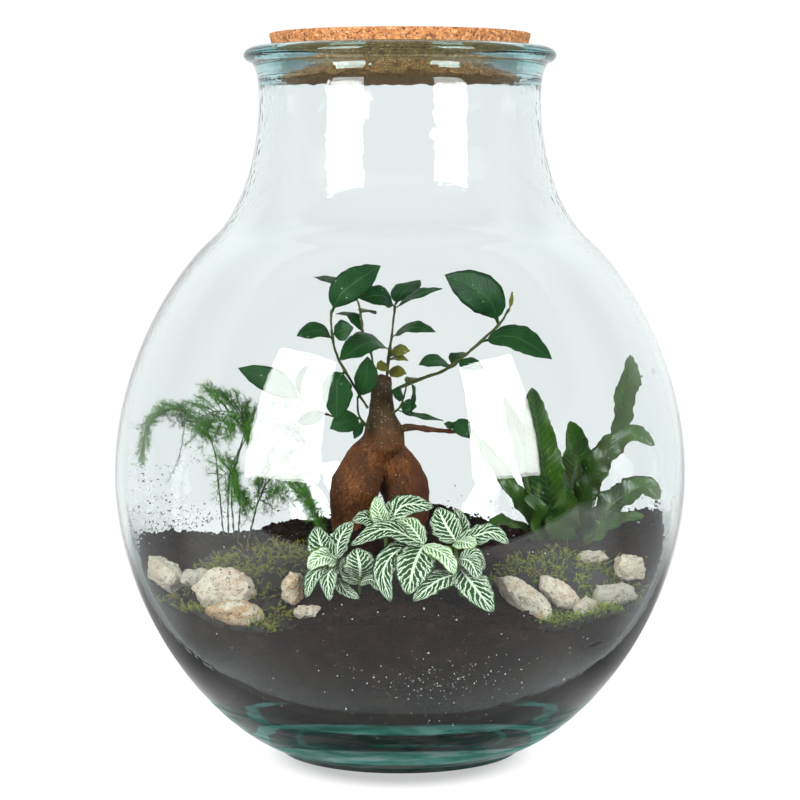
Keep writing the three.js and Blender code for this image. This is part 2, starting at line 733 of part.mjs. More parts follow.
function asparagusSolid({ points, across, from, spread, pairs }) {
  const curve = new THREE.CatmullRomCurve3(points.map(vector), false, "centripetal");
  const solids = [limb(points, [1, 0.9, 0.8, 0.6], 4, points.length * 2 - 2)];
  for (let pair = 0; pair < pairs; pair++) {
    const share = (pair + 0.5) / pairs;
    const length = spread * (0.45 + 0.75 * Math.sin(Math.PI * Math.min(1, 0.2 + share * 0.75)));
    for (const sign of [-1, 1]) {
      const t = THREE.MathUtils.lerp(from, 0.96, share + 0.06 * sign);
      const root = curve.getPointAt(t);
      const along = curve.getTangentAt(t);
      const out = vector(across).normalize().multiplyScalar(sign).addScaledVector(along, 0.7).normalize();
      solids.push(spray(root, root.clone().addScaledVector(out, length), along));
    }
  }
  return joined(solids);
}

asparagusFronds.forEach((frond) => {
  beds.push(roomBelow(limb(frond.points.slice(0, 3), [1.1, 1.1], 4), footHeight));
  addPart(frond.name, largest(asparagusSolid(frond)), plumeFinish);
});

// The nest fern: a rosette of strap fronds with waved edges.
const nestFernFronds = [
  { name: "nest_fern_front_tall", points: [[93, 13, 112], [90, 7, 138], [84, 3, 170], [77, 1, 212]],
    width: 26, up: [-0.2, -1, 0.1], waves: 2.5, wave: 1 },
  { name: "nest_fern_back", points: [[97, 24, 112], [102, 30, 142], [107, 36, 172], [102, 33, 189]],
    width: 25, up: [0, -1, 0.2], waves: 2, wave: 1 },
  { name: "nest_fern_right_arched", points: [[104, 18, 114], [110, 16, 146], [122, 10, 172], [138, 4, 185],
    [150, 2, 178]], width: 20, up: [-0.35, -0.9, 0.4], waves: 4, wave: 1.5 },
  { name: "nest_fern_right_high", points: [[103, 25, 114], [119, 38, 150], [132, 42, 184], [136, 34, 210],
    [138, 28, 230]], width: 16, up: [0.5, -0.8, 0.1], waves: 5, wave: 1.6 },
  { name: "nest_fern_right_broad", points: [[104, 10, 114], [116, -2, 134], [130, -10, 149], [143, -15, 156],
    [151, -16, 149]], width: 24, up: [-0.5, -0.75, 0.6], waves: 3, wave: 1.5 },
  { name: "nest_fern_right_low", points: [[102, 4, 108], [114, -13, 127], [128, -24, 138], [140, -31, 141]],
    width: 16, up: [-0.3, -0.6, 0.7], waves: 3, wave: 1.2 },
  { name: "nest_fern_left_arched", points: [[87, 17, 112], [76, 13, 136], [60, 8, 160], [42, 6, 186]],
    width: 13, up: [0.3, -0.9, 0.3], waves: 3, wave: 1.2 },
  { name: "nest_fern_front_curled", points: [[88, 9, 114], [82, -3, 132], [80, -9, 144], [72, -12, 149]],
    width: 16, up: [0.2, -0.9, 0.4], waves: 2, wave: 1 },
  { name: "nest_fern_front_broad", points: [[95, 6, 112], [95, -3, 130], [97, -10, 146], [96, -12, 154]],
    width: 24, up: [0, -1, 0.2], waves: 2, wave: 1 },
  { name: "nest_fern_left_low", points: [[86, 11, 114], [70, 0, 130], [58, -8, 134], [44, -16, 127]],
    width: 14, up: [0.1, -0.5, 0.9], waves: 2, wave: 1 },
  { name: "nest_fern_back_left", points: [[90, 24, 112], [82, 32, 146], [72, 36, 178], [62, 34, 204]],
    width: 16, up: [0.1, -1, 0.1], waves: 3, wave: 1.2 },
];

const nestFernShape = { outline: strap, fold: 0.25, steps: 11, stalk: 1.8, thickness: 1.6 };

nestFernFronds.forEach((frond) => {
  const [x, y] = frond.points[0];
  const solid = addPart(frond.name, blade({ ...nestFernShape, ...frond }), nestFernFinish);
  beds.push(roomBelow(solid, soilHeight(x, y) + 2));
});

// The fittonia: short stems with leaf pairs that spread over the slope in front of the ficus.
const fittoniaStems = [
  {
    name: "fittonia_stem_centre",
    stem: [[4, -79, 101], [8, -84, 117], [13, -88, 133]],
    leaves: [
      { points: [[13, -88, 133], [6, -88, 143], [-1, -84, 147]], width: 12, up: [0.2, -0.8, 0.6] },
      { points: [[12, -90, 133], [-8, -98, 143], [-27, -104, 135]], width: 11, up: [0, -0.7, 0.7] },
      { points: [[15, -90, 133], [24, -98, 129], [30, -104, 119]], width: 11, up: [0.4, -0.7, 0.5] },
      { points: [[14, -90, 132], [8, -104, 125], [4, -116, 110]], width: 18, up: [0, -0.9, 0.4] },
      { points: [[12, -88, 130], [-1, -95, 131], [-9, -105, 121], [-5, -117, 106]], width: 11,
        up: [-0.1, -0.9, 0.4] },
    ],
  },
  {
    name: "fittonia_stem_back",
    stem: [[-8, -61, 100], [-8, -63, 124], [-8, -66, 140]],
    leaves: [
      { points: [[-8, -66, 140], [-12, -68, 149], [-13, -66, 157]], width: 9, up: facing },
      { points: [[-7, -66, 141], [2, -62, 151], [19, -56, 150]], width: 12, up: [0, -0.8, 0.6] },
      { points: [[-6, -64, 141], [-3, -58, 154]], width: 10, up: facing },
      { points: [[-8, -65, 138], [-19, -67, 145], [-27, -68, 143]], width: 10, up: [0, -0.7, 0.7] },
    ],
  },
  {
    name: "fittonia_stem_right",
    stem: [[31, -70, 96], [31, -73, 118], [31, -76, 133]],
    leaves: [
      { points: [[30, -77, 132], [25, -75, 143], [21, -68, 151]], width: 15, up: facing },
      { points: [[31, -75, 133], [34, -70, 142], [31, -65, 150]], width: 9, up: facing },
      { points: [[32, -77, 133], [42, -80, 137], [51, -82, 139], [60, -84, 133]], width: 11,
        up: [0, -0.8, 0.6] },
      { points: [[31, -78, 132], [36, -85, 134], [42, -91, 133]], width: 11, up: [0.1, -0.8, 0.6] },
    ],
  },
  {
    name: "fittonia_stem_low_right",
    stem: [[34, -84, 92], [34, -88, 110], [32, -91, 126]],
    leaves: [
      { points: [[32, -91, 126], [38, -97, 125], [43, -103, 116]], width: 10, up: [0.3, -0.8, 0.5] },
      { points: [[33, -90, 124], [41, -92, 128], [46, -95, 120]], width: 8, up: [0.4, -0.8, 0.4] },
      { points: [[32, -92, 119], [40, -108, 113], [50, -118, 101]], width: 16, up: [0.2, -0.9, 0.4] },
      { points: [[32, -92, 117], [20, -108, 116], [7, -119, 107]], width: 13, up: [-0.2, -0.8, 0.6] },
    ],
  },
  {
    name: "fittonia_stem_left",
    stem: [[-34, -78, 96], [-34, -82, 111], [-35, -86, 125]],
    leaves: [
      { points: [[-35, -86, 125], [-43, -85, 132], [-46, -78, 142]], width: 14, up: facing },
      { points: [[-35, -86, 125], [-33, -83, 136], [-26, -79, 145]], width: 11, up: [-0.3, -0.8, 0.5] },
      { points: [[-35, -86, 124], [-43, -93, 127], [-50, -98, 121]], width: 11, up: [-0.1, -0.8, 0.6] },
      { points: [[-35, -86, 121], [-46, -98, 119], [-51, -104, 106]], width: 9, up: [-0.4, -0.8, 0.4] },
      { points: [[-35, -86, 120], [-39, -100, 118], [-38, -107, 105]], width: 9, up: [-0.1, -0.9, 0.4] },
      { points: [[-34, -83, 113], [-30, -95, 109], [-22, -101, 105]], width: 7, up: [0.1, -0.8, 0.6] },
    ],
  },
  {
    name: "fittonia_stem_inner_left",
    stem: [[-22, -84, 94], [-22, -88, 105], [-22, -91, 116]],
    leaves: [
      { points: [[-22, -91, 115], [-22, -95, 123], [-24, -91, 132]], width: 16, up: [0, -1, 0.2] },
      { points: [[-22, -90, 112], [-15, -99, 115], [-11, -104, 110]], width: 7, up: [0.1, -0.8, 0.6] },
      { points: [[-22, -90, 112], [-29, -90, 118], [-31, -87, 126]], width: 8, up: [0.3, -0.9, 0.3] },
    ],
  },
];

const fittoniaShape = { outline: pointed, stalk: 0.8, thickness: 1 };
const fittoniaParts = fittoniaStems.map(({ name, stem, leaves }) => {
  const radii = [1.6, 1.4, 1.1];
  beds.push(roomBelow(limb(stem, radii, shootSides), soilHeight(...stem[0]) + 5));
  return { name, body: addPart(name, leafyStem(stem, radii, leaves, fittoniaShape), fittoniaFinish) };
});

// The mats keep clear of the soil, the wall, the stones and the stems and leaves among them.
const fittoniaSpace = joined(fittoniaParts.flatMap(({ body }) => [body, body.translate([0, 0, -gap])]));
const kept = joined([wholeSoil.translate([0, 0, gap]), stoneSpaces, fittoniaSpace, ...beds]);
mossMats.forEach(({ name, cushions }) => {
  const mat = joined(cushions.map(mossCushion)).intersect(innerSpace).subtract(kept);
  addPart(name, largest(mat), mossFinish);
});

// The soil last, with a bed for each stone and a hole for each stem.
addPart("soil_bed", largest(wholeSoil.subtract(joined([stoneSpaces, ...beds]))), soilFinish);

export default terrarium;
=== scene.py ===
import math
import bpy
import numpy as np
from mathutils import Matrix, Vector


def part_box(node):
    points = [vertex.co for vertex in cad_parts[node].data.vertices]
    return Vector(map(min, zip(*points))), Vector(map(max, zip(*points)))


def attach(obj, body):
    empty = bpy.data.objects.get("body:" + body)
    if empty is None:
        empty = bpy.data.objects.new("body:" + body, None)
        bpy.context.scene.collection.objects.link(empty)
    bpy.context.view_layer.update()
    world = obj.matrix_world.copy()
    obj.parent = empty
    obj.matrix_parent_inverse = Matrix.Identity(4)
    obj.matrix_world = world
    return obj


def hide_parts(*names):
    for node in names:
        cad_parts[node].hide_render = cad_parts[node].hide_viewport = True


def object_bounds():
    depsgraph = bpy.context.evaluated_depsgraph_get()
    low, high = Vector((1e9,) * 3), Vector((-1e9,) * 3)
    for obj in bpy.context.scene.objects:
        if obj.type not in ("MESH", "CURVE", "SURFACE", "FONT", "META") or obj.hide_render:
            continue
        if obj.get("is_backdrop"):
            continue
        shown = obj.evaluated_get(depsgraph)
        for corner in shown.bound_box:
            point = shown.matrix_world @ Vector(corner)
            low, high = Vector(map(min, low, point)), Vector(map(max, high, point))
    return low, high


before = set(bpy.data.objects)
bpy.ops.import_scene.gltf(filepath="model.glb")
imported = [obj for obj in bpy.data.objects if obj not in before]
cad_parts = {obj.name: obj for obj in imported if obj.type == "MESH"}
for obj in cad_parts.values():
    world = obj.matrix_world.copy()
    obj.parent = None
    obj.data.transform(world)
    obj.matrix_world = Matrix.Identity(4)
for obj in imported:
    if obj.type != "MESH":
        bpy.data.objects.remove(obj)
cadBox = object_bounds()

# All shapes are worked out in millimetres and put into the meshes in metres.


# Shapes

def unit(v):
    # each vector divided by its own length
    return v / np.maximum(np.linalg.norm(v, axis=-1, keepdims=True), 1e-9)


def blend(a, b, t):
    # smooth step from 0 to 1 as t goes from a to b
    s = np.clip((np.asarray(t, float) - a) / (b - a), 0, 1)
    return s * s * (3 - 2 * s)


def lattice(cells, seed):
    # a repeatable random number from 0 to 1 for each whole-number cell
    x, y, z = (cells[..., i].astype(np.int64) for i in range(3))
    h = (x * 374761393 + y * 668265263 + z * 1442695041 + seed * 1013904223) & 0xFFFFFFFF
    h = ((h ^ (h >> 13)) * 1274126177) & 0xFFFFFFFF
    return ((h ^ (h >> 16)) & 0xFFFFFFFF) / 4294967296.0


def cloud(points, cell, seed=0, octaves=3):
    # value noise from -1 to 1: random heights at a lattice's corners, blended between them; each octave has
    # half the size and half the weight of the one before
    total, weight = 0.0, 0.0
    for octave in range(octaves):
        p = points * (2 ** octave / cell)
        low = np.floor(p)
        f = p - low
        f = f * f * (3 - 2 * f)
        value = 0.0
        for corner in np.ndindex(2, 2, 2):
            share = np.prod(np.where(np.array(corner) == 1, f, 1 - f), axis=-1)
            value = value + share * lattice(low + np.array(corner), seed + octave)
        total = total + value * 0.5 ** octave
        weight += 0.5 ** octave
    return 2 * total / weight - 1


def smoothLine(points, count):
    # centripetal Catmull-Rom line through the points, cut into equal steps of its length
    p = np.asarray(points, float)
    p = np.vstack([2 * p[0] - p[1], p, 2 * p[-1] - p[-2]])
    spans = np.maximum(np.linalg.norm(np.diff(p, axis=0), axis=1), 1e-6)
    knots = np.concatenate([[0], np.cumsum(spans ** 0.5)])
    dense = []
    for i in range(1, len(p) - 2):
        t = np.linspace(knots[i], knots[i + 1], 25)[:-1, None]
        k = knots[i - 1:i + 3]
        a = [((k[j + 1] - t) * p[i - 1 + j] + (t - k[j]) * p[i + j]) / (k[j + 1] - k[j]) for j in range(3)]
        b = [((k[j + 2] - t) * a[j] + (t - k[j]) * a[j + 1]) / (k[j + 2] - k[j]) for j in range(2)]
        dense.append(((k[2] - t) * b[0] + (t - k[1]) * b[1]) / (k[2] - k[1]))
    dense = np.vstack(dense + [p[-2:-1]])
    length = np.concatenate([[0], np.cumsum(np.linalg.norm(np.diff(dense, axis=0), axis=1))])
    at = np.linspace(0, length[-1], count)
    return np.stack([np.interp(at, length, dense[:, i]) for i in range(3)], axis=1)


def tangents(line):
    # direction of a line at each of its points
    return unit(np.gradient(line, axis=-2))


def bezier(p, count):
    # cubic Bezier curve through its four handles
    t = np.linspace(0, 1, count)[:, None]
    p = np.asarray(p, float)
    return (1 - t) ** 3 * p[0] + 3 * (1 - t) ** 2 * t * p[1] + 3 * (1 - t) * t * t * p[2] + t ** 3 * p[3]


def circle(count):
    # equal angles all the way round
    return np.linspace(0, 2 * np.pi, count, endpoint=False)


def alternating(count):
    # 1, -1, 1, ...
    return np.where(np.arange(count) % 2 == 0, 1.0, -1.0)


def turned(radius, angle, height):
    # points about the upright axis
    return np.stack(np.broadcast_arrays(radius * np.cos(angle), radius * np.sin(angle), height), -1)


class Mould:
    # gathers points, faces and three marks for each point, and makes one mesh of them
    def __init__(self):
        self.points, self.marks, self.quads, self.triangles, self.count = [], [], [], [], 0

    def add(self, points, quads=None, triangles=None, marks=(0, 0, 0)):
        points = np.asarray(points, float).reshape(-1, 3)
        self.points.append(points)
        self.marks.append(np.broadcast_to(np.asarray(marks, float), points.shape))
        for faces, kept in ((quads, self.quads), (triangles, self.triangles)):
            if faces is not None and len(faces):
                kept.append(np.asarray(faces, int) + self.count)
        self.count += len(points)

    def skin(self, rings, first, last, marks=None):
        # closed skin over equal rings of points, with a pole at each end
        rows, cols = rings.shape[:2]
        r, c = np.meshgrid(np.arange(rows - 1), np.arange(cols), indexing="ij")
        n = (c + 1) % cols
        corners = [r * cols + c, r * cols + n, (r + 1) * cols + n, (r + 1) * cols + c]
        quads = np.stack(corners, -1).reshape(-1, 4)
        k = np.arange(cols)
        n = (k + 1) % cols
        top = (rows - 1) * cols
        firstCap = np.stack([np.full(cols, rows * cols), n, k], 1)
        lastCap = np.stack([top + k, top + n, np.full(cols, rows * cols + 1)], 1)
        caps = np.vstack([firstCap, lastCap])
        if marks is None:
            allMarks = (0, 0, 0)
        else:
            allMarks = np.vstack([marks.reshape(-1, 3), marks[0].mean(0), marks[-1].mean(0)])
        self.add(np.vstack([rings.reshape(-1, 3), first, last]), quads, caps, allMarks)

    def copies(self, points, triangles, marks):
        # many small shapes with the same faces: points is (shape, point, 3) and marks is (shape, point, 3)
        shapes, size = points.shape[:2]
        faces = (np.asarray(triangles)[None] + (np.arange(shapes) * size)[:, None, None]).reshape(-1, 3)
        self.add(points.reshape(-1, 3), None, faces, np.broadcast_to(marks, points.shape).reshape(-1, 3))


def meshOf(name, mould):
    # a mould's arrays as one mesh in metres
    points = np.vstack(mould.points) * 0.001
    quads = np.vstack(mould.quads) if mould.quads else np.zeros((0, 4), int)
    triangles = np.vstack(mould.triangles) if mould.triangles else np.zeros((0, 3), int)
    starts = np.concatenate([np.arange(len(quads)) * 4, len(quads) * 4 + np.arange(len(triangles)) * 3])
    mesh = bpy.data.meshes.new(name)
    mesh.vertices.add(len(points))
    mesh.loops.add(quads.size + triangles.size)
    mesh.polygons.add(len(starts))
    mesh.vertices.foreach_set("co", points.astype(np.float32).ravel())
    corners = np.concatenate([quads.ravel(), triangles.ravel()])
    mesh.loops.foreach_set("vertex_index", corners.astype(np.int32))
    mesh.polygons.foreach_set("loop_start", starts.astype(np.int32))
    mesh.update(calc_edges=True)
    return mesh


def intoScene(name, data):
    # a new object at the origin
    made = bpy.data.objects.new(name, data)
    bpy.context.scene.collection.objects.link(made)
    return made


def addPiece(name, mould, material, nodes=(), smooth=True):
    # makes one piece that rides on the part and takes the place of its nodes
    mesh = meshOf(name, mould)
    mesh.polygons.foreach_set("use_smooth", np.full(len(mesh.polygons), smooth))
    marks = mesh.attributes.new("marks", "FLOAT_VECTOR", "POINT")
    marks.data.foreach_set("vector", np.vstack(mould.marks).astype(np.float32).ravel())
    mesh.materials.append(material)
    piece = intoScene(name, mesh)
    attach(piece, "root")
    if nodes:
        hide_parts(*nodes)


def addNode(node, mould, material, smooth=True):
    # a piece in place of one node, named after it: nest_fern_back becomes nestFernBack
    first, *rest = node.split("_")
    name = first + "".join(word.capitalize() for word in rest)
    addPiece(name, mould, material, [node], smooth)


def tube(mould, line, radii, sides, marks=(0, 0, 0)):
    # round limb along a line: rings at right angles to it, with the ring's start carried along without twist
    line = np.asarray(line, float)
    t = tangents(line)
    radii = np.interp(np.linspace(0, 1, len(line)), np.linspace(0, 1, len(radii)), radii)
    side = unit(np.cross(t[0], [0.3, 0.9, 0.2]))
    sideways = []
    for direction in t:
        side = unit(side - direction * np.dot(side, direction))
        sideways.append(side)
    s = np.array(sideways)[:, None]
    b = np.cross(t, s[:, 0])[:, None]
    angle = circle(sides)[None, :, None]
    rings = line[:, None] + radii[:, None, None] * (np.cos(angle) * s + np.sin(angle) * b)
    mould.skin(rings, line[0] - t[0] * radii[0] * 0.3, line[-1] + t[-1] * radii[-1] * 0.4,
               np.broadcast_to(np.asarray(marks, float), rings.shape))


def leaf(mould, line, width, up, outline, look, stalk, wave, waves, seed, young=0):
    # a thin closed leaf: across its midrib the blade is lifted by the look's fold, rolled by its curl and
    # quilted between its side veins, and its ragged edge rises and falls by wave; the third mark is the seed,
    # with 1 added on the underside and 2 on a young leaf
    up = np.asarray(up, float)
    line = smoothLine(line, look["rows"] + 1)
    t = tangents(line)[1:-1]
    centre = line[1:-1]
    share = np.linspace(0, 1, look["rows"] + 1)[1:-1, None]
    side = unit(np.cross(t, up))
    normal = np.cross(side, t)
    half = np.maximum(stalk, 0.5 * width * outline(share))
    v = np.concatenate([np.linspace(-1, 1, look["cols"]), np.linspace(1, -1, look["cols"])[1:-1]])[None]
    nearEdge = centre[:, None] + side[:, None] * (9 * np.sign(v))[..., None]
    torn = look["ragged"] * cloud(nearEdge, 2.6, 17, 2)
    half = half * (1 + np.minimum(torn, 0.3 * look["ragged"]))
    face = np.concatenate([np.ones(look["cols"]), -np.ones(look["cols"] - 2)])[None]
    broad = np.clip(half / max(0.5 * width, 0.1), 0, 1)
    fold = look["fold"] + look["foldVaries"] * (seed - 0.5)
    lift = half * (fold * np.abs(v) ** 1.3 - look["curl"] * v ** 2)
    lift = lift + wave * broad * np.abs(v) ** 1.5 * np.sin(2 * np.pi * waves * share + np.sign(v))
    pillows = np.sin(np.pi * np.abs(v)) * np.cos(2 * np.pi * (9 * share - 3 * np.abs(v)))
    lift = lift + look["quilt"] * broad * pillows
    lift = lift + face * 0.5 * look["thickness"] * (0.25 + 0.75 * (1 - v ** 2))
    rings = centre[:, None] + side[:, None] * (half * v)[..., None] + normal[:, None] * lift[..., None]
    kind = seed + 2 * young + np.where(face > 0, 0.0, 1.0)
    marks = np.stack(np.broadcast_arrays(share, v, kind), -1)
    mould.skin(rings, line[0], line[-1], marks)


def arched(points, up):
    # a leaf given by its two ends rises by a tenth of its length between them
    if len(points) > 2:
        return points
    a, b = np.asarray(points, float)
    middle = (a + b) / 2 + unit(np.asarray(up, float)) * 0.1 * np.linalg.norm(b - a)
    return [a, middle, b]


spikeFaces = [[0, 2, 1], [0, 1, 3], [1, 2, 3], [2, 0, 3]]


def spikes(mould, starts, ends, radius, marks):
    # three-sided needles from start to end, all at once
    starts, ends = starts.reshape(-1, 3), ends.reshape(-1, 3)
    along = unit(ends - starts)
    side = unit(np.cross(along, [0.31, 0.17, 0.93]))
    over = np.cross(along, side)
    radius = np.broadcast_to(radius, (len(starts),))[:, None]
    base = [starts + radius * (math.cos(a) * side + math.sin(a) * over) for a in (0, 2.094, 4.189)]
    mould.copies(np.stack(base + [ends], axis=1), spikeFaces, marks)


def readBack(items, name, width=3, kind=float):
    # one value or vector of each item as an array
    values = np.empty(len(items) * width, kind)
    items.foreach_get(name, values)
    return values.reshape(-1, width)


def fused(mould, voxel, rounds):
    # one smooth skin round overlapping limbs: points and normals in millimetres, and four-cornered faces
    rough = intoScene("rough", meshOf("rough", mould))
    remesh = rough.modifiers.new("remesh", "REMESH")
    remesh.mode, remesh.voxel_size = "VOXEL", voxel * 0.001
    smooth = rough.modifiers.new("smooth", "SMOOTH")
    smooth.factor, smooth.iterations = 0.5, rounds
    done = bpy.data.meshes.new_from_object(rough.evaluated_get(bpy.context.evaluated_depsgraph_get()))
    points, normals = readBack(done.vertices, "co") * 1000, readBack(done.vertices, "normal")
    faces = readBack(done.loops, "vertex_index", 1, int).reshape(-1, 4)
    mesh = rough.data
    bpy.data.objects.remove(rough)
    for spare in (mesh, done):
        bpy.data.meshes.remove(spare)
    return points, normals, faces


# Shader maths

class Wire:
    # wraps a socket, so that maths on it is written as a Python expression and adds its own Math nodes
    def __init__(self, tree, socket=None):
        self.tree, self.socket = tree, socket

    def feed(self, socket, value):
        if isinstance(value, Wire):
            self.tree.links.new(value.socket, socket)
        else:
            socket.default_value = value

    def node(self, kind, settings=(), inputs=(), output=0):
        made = self.tree.nodes.new("ShaderNode" + kind)
        for key, value in dict(settings).items():
            if key == "stops":
                ramp = made.color_ramp
                while len(ramp.elements) < len(value):
                    ramp.elements.new(0.5)
                for stop, (place, color) in zip(ramp.elements, value):
                    stop.position, stop.color = place, (*color, 1)
            else:
                setattr(made, key, value)
        for key, value in dict(inputs).items():
            self.feed(made.inputs[key], value)
        return Wire(self.tree, made.outputs[output])

    def math(self, operation, *values):
        return self.node("Math", {"operation": operation}, enumerate(values))

    def __add__(self, other): return self.math("ADD", self, other)
    def __radd__(self, other): return self.math("ADD", other, self)
    def __sub__(self, other): return self.math("SUBTRACT", self, other)
    def __rsub__(self, other): return self.math("SUBTRACT", other, self)
    def __mul__(self, other): return self.math("MULTIPLY", self, other)
    def __rmul__(self, other): return self.math("MULTIPLY", other, self)
    def __pow__(self, other): return self.math("POWER", self, other)
    def __abs__(self): return self.math("ABSOLUTE", self)

    def part(self): return self.math("FRACT", self)
    def most(self, other): return self.math("MAXIMUM", self, other)

    def step(self, low, high):
        # 0 below low and 1 above high, with a soft edge; low may be the larger one
        ends = {"Value": self, "From Min": low, "From Max": high}
        return self.node("MapRange", {"interpolation_type": "SMOOTHSTEP"}, ends)

    def place(self):
        return self.node("TexCoord", output="Object")

    def split(self, vector):
        # the three parts of a place or a colour
        sockets = self.node("SeparateXYZ", (), {0: vector}).socket.node.outputs
        return [Wire(self.tree, sockets[i]) for i in range(3)]

    def joinXyz(self, x, y, z):
        return self.node("CombineXYZ", (), {0: x, 1: y, 2: z})

    def marks(self):
        # the three marks of the surface: along, across, and one number for each leaf or grain
        return self.split(self.node("Attribute", {"attribute_name": "marks"}, output="Vector"))

    def stretched(self, vector, scale):
        return self.node("Mapping", (), {"Vector": vector, "Scale": scale})

    def noise(self, vector, scale, detail=3.0, roughness=0.55):
        sockets = {"Vector": vector, "Scale": scale, "Detail": detail, "Roughness": roughness}
        return self.node("TexNoise", (), sockets)

    def cells(self, vector, scale, feature="F1", output="Distance"):
        return self.node("TexVoronoi", {"feature": feature}, {"Vector": vector, "Scale": scale}, output)

    def dots(self, vector, scale, size, chosen, channel=0, more=0.0):
        # round dots in those cells whose own number, with more added, passes the chosen step
        own = self.split(self.cells(vector, scale, output="Color"))[channel]
        return self.cells(vector, scale).step(*size) * (own + more).step(*chosen)

    def leafMarks(self):
        # along, across and the leaf's tone, then 0 or 1 for a stem, whose third mark is 4.5, a young leaf
        # and the underside
        u, v, kind = self.marks()
        stem = kind.step(3.99, 4.01)
        young = kind.step(1.99, 2.01) * (1 - stem)
        under = (kind * 0.5).part().step(0.49, 0.51) * (1 - stem)
        return u, v, kind.part(), stem, young, under

    def shaders(self, factor, a, b):
        return self.node("MixShader", (), {0: factor, 1: a, 2: b})

    def mix(self, factor, a, b):
        wide = lambda c: c if isinstance(c, Wire) else (*c, 1)
        return self.node("Mix", {"data_type": "RGBA"}, {0: factor, 6: wide(a), 7: wide(b)}, 2)

    def layered(self, body, *layers):
        # a colour with others laid over it, each as far as its factor says
        for factor, color in layers:
            body = self.mix(factor, body, color)
        return body

    def ramp(self, *stops):
        return self.node("ValToRGB", {"stops": stops}, {0: self})

    def bump(self, height, strength, distance):
        return self.node("Bump", (), {"Height": height, "Strength": strength, "Distance": distance})


def makeMaterial(name, recipe, **uniform):
    # a Principled finish: uniform sockets by name, and those that vary from the recipe
    material = bpy.data.materials.new(name)
    material.use_nodes = True
    shader = material.node_tree.nodes["Principled BSDF"]
    start = Wire(material.node_tree)
    sockets = {key.replace("_", " "): value for key, value in uniform.items()}
    sockets.update(recipe(start))
    for socketName, value in sockets.items():
        start.feed(shader.inputs[socketName], value)
    return material


# Camera, lamps and floor

studio = {
    "eye": (0.0, -1.44, 0.3347),
    "pitchDown": 5.14,
    "lens": 111.4,
    "lampAway": 1.95,
    "lamps": [  # turn from the front in degrees, width, height, middle height, radiance
        (-45.2, 1.04, 1.56, 1.00, 11.0),
        (40.8, 0.90, 1.46, 0.98, 11.0),
    ],
    "mirroredLamp": 0.44,  # what a lamp's mirror image keeps of its light
    "backdrop": 1.02, "sideDimmed": 0.30, "ambient": 0.45,
    "sideMirrored": 0.50, "room": 0.03,  # the backdrop's sides and the room as mirrored rays see them
    "tableWhite": 0.12, "tableGlow": 0.96, "contactShade": 0.50,
    "tableDimmed": 0.18, "asideDimmed": 0.48, "stripDimmed": 0.50,  # what the table loses when mirrored
    "floor": (-0.43, 1.5, 1.1),  # front edge, half width, back edge
}

camera = intoScene("camera", bpy.data.cameras.new("camera"))
camera.data.lens = studio["lens"]
camera.data.sensor_width = 36
camera.location = studio["eye"]
camera.rotation_euler = (math.radians(90 - studio["pitchDown"]), 0, 0)
bpy.context.scene.camera = camera
bpy.context.scene.view_settings.view_transform = "Standard"

for number, (turn, wide, high, middle, radiance) in enumerate(studio["lamps"]):
    lamp = bpy.data.lights.new(f"softLamp{number}", "AREA")
    lamp.shape, lamp.size, lamp.size_y = "RECTANGLE", wide, high
    lamp.energy = radiance * math.pi * wide * high
    holder = intoScene(lamp.name, lamp)
    angle = math.radians(turn)
    away = studio["lampAway"]
    holder.location = (math.sin(angle) * away, -math.cos(angle) * away, middle)
    holder.rotation_euler = (math.radians(90), 0, angle)
    # seen in the glass as a mirror image, a lamp is dimmer than it lights the plants
    lamp.use_nodes = True
    glow = Wire(lamp.node_tree)
    mirrored = glow.node("LightPath", output="Is Glossy Ray")
    strength = lamp.node_tree.nodes["Emission"].inputs["Strength"]
    glow.feed(strength, 1 - mirrored * (1 - studio["mirroredLamp"]))

world = bpy.data.worlds.new("studio")
bpy.context.scene.world = world
world.use_nodes = True
sky = Wire(world.node_tree)
path = world.node_tree.nodes.new("ShaderNodeLightPath")
aside, forward, _ = sky.split(sky.node("TexCoord", output="Generated"))
# once mirrored, a ray that leaves towards the camera's side sees a dark room; the rest see the white backdrop
diffuse = Wire(world.node_tree, path.outputs["Is Diffuse Ray"])
mirrored = Wire(world.node_tree, path.outputs["Glossy Depth"]).step(0.4, 0.6)
level = studio["backdrop"] - abs(aside).step(0.40, 0.90) * studio["sideDimmed"]
level = level * (1 - mirrored * forward.step(0.75, 0.35) * studio["sideMirrored"])
level = level + mirrored * forward.step(0.05, -0.15) * (studio["room"] - level)
level = level + diffuse * (studio["ambient"] - level)
background = world.node_tree.nodes["Background"]
background.inputs["Color"].default_value = (1, 1, 1, 1)
sky.feed(background.inputs["Strength"], level)


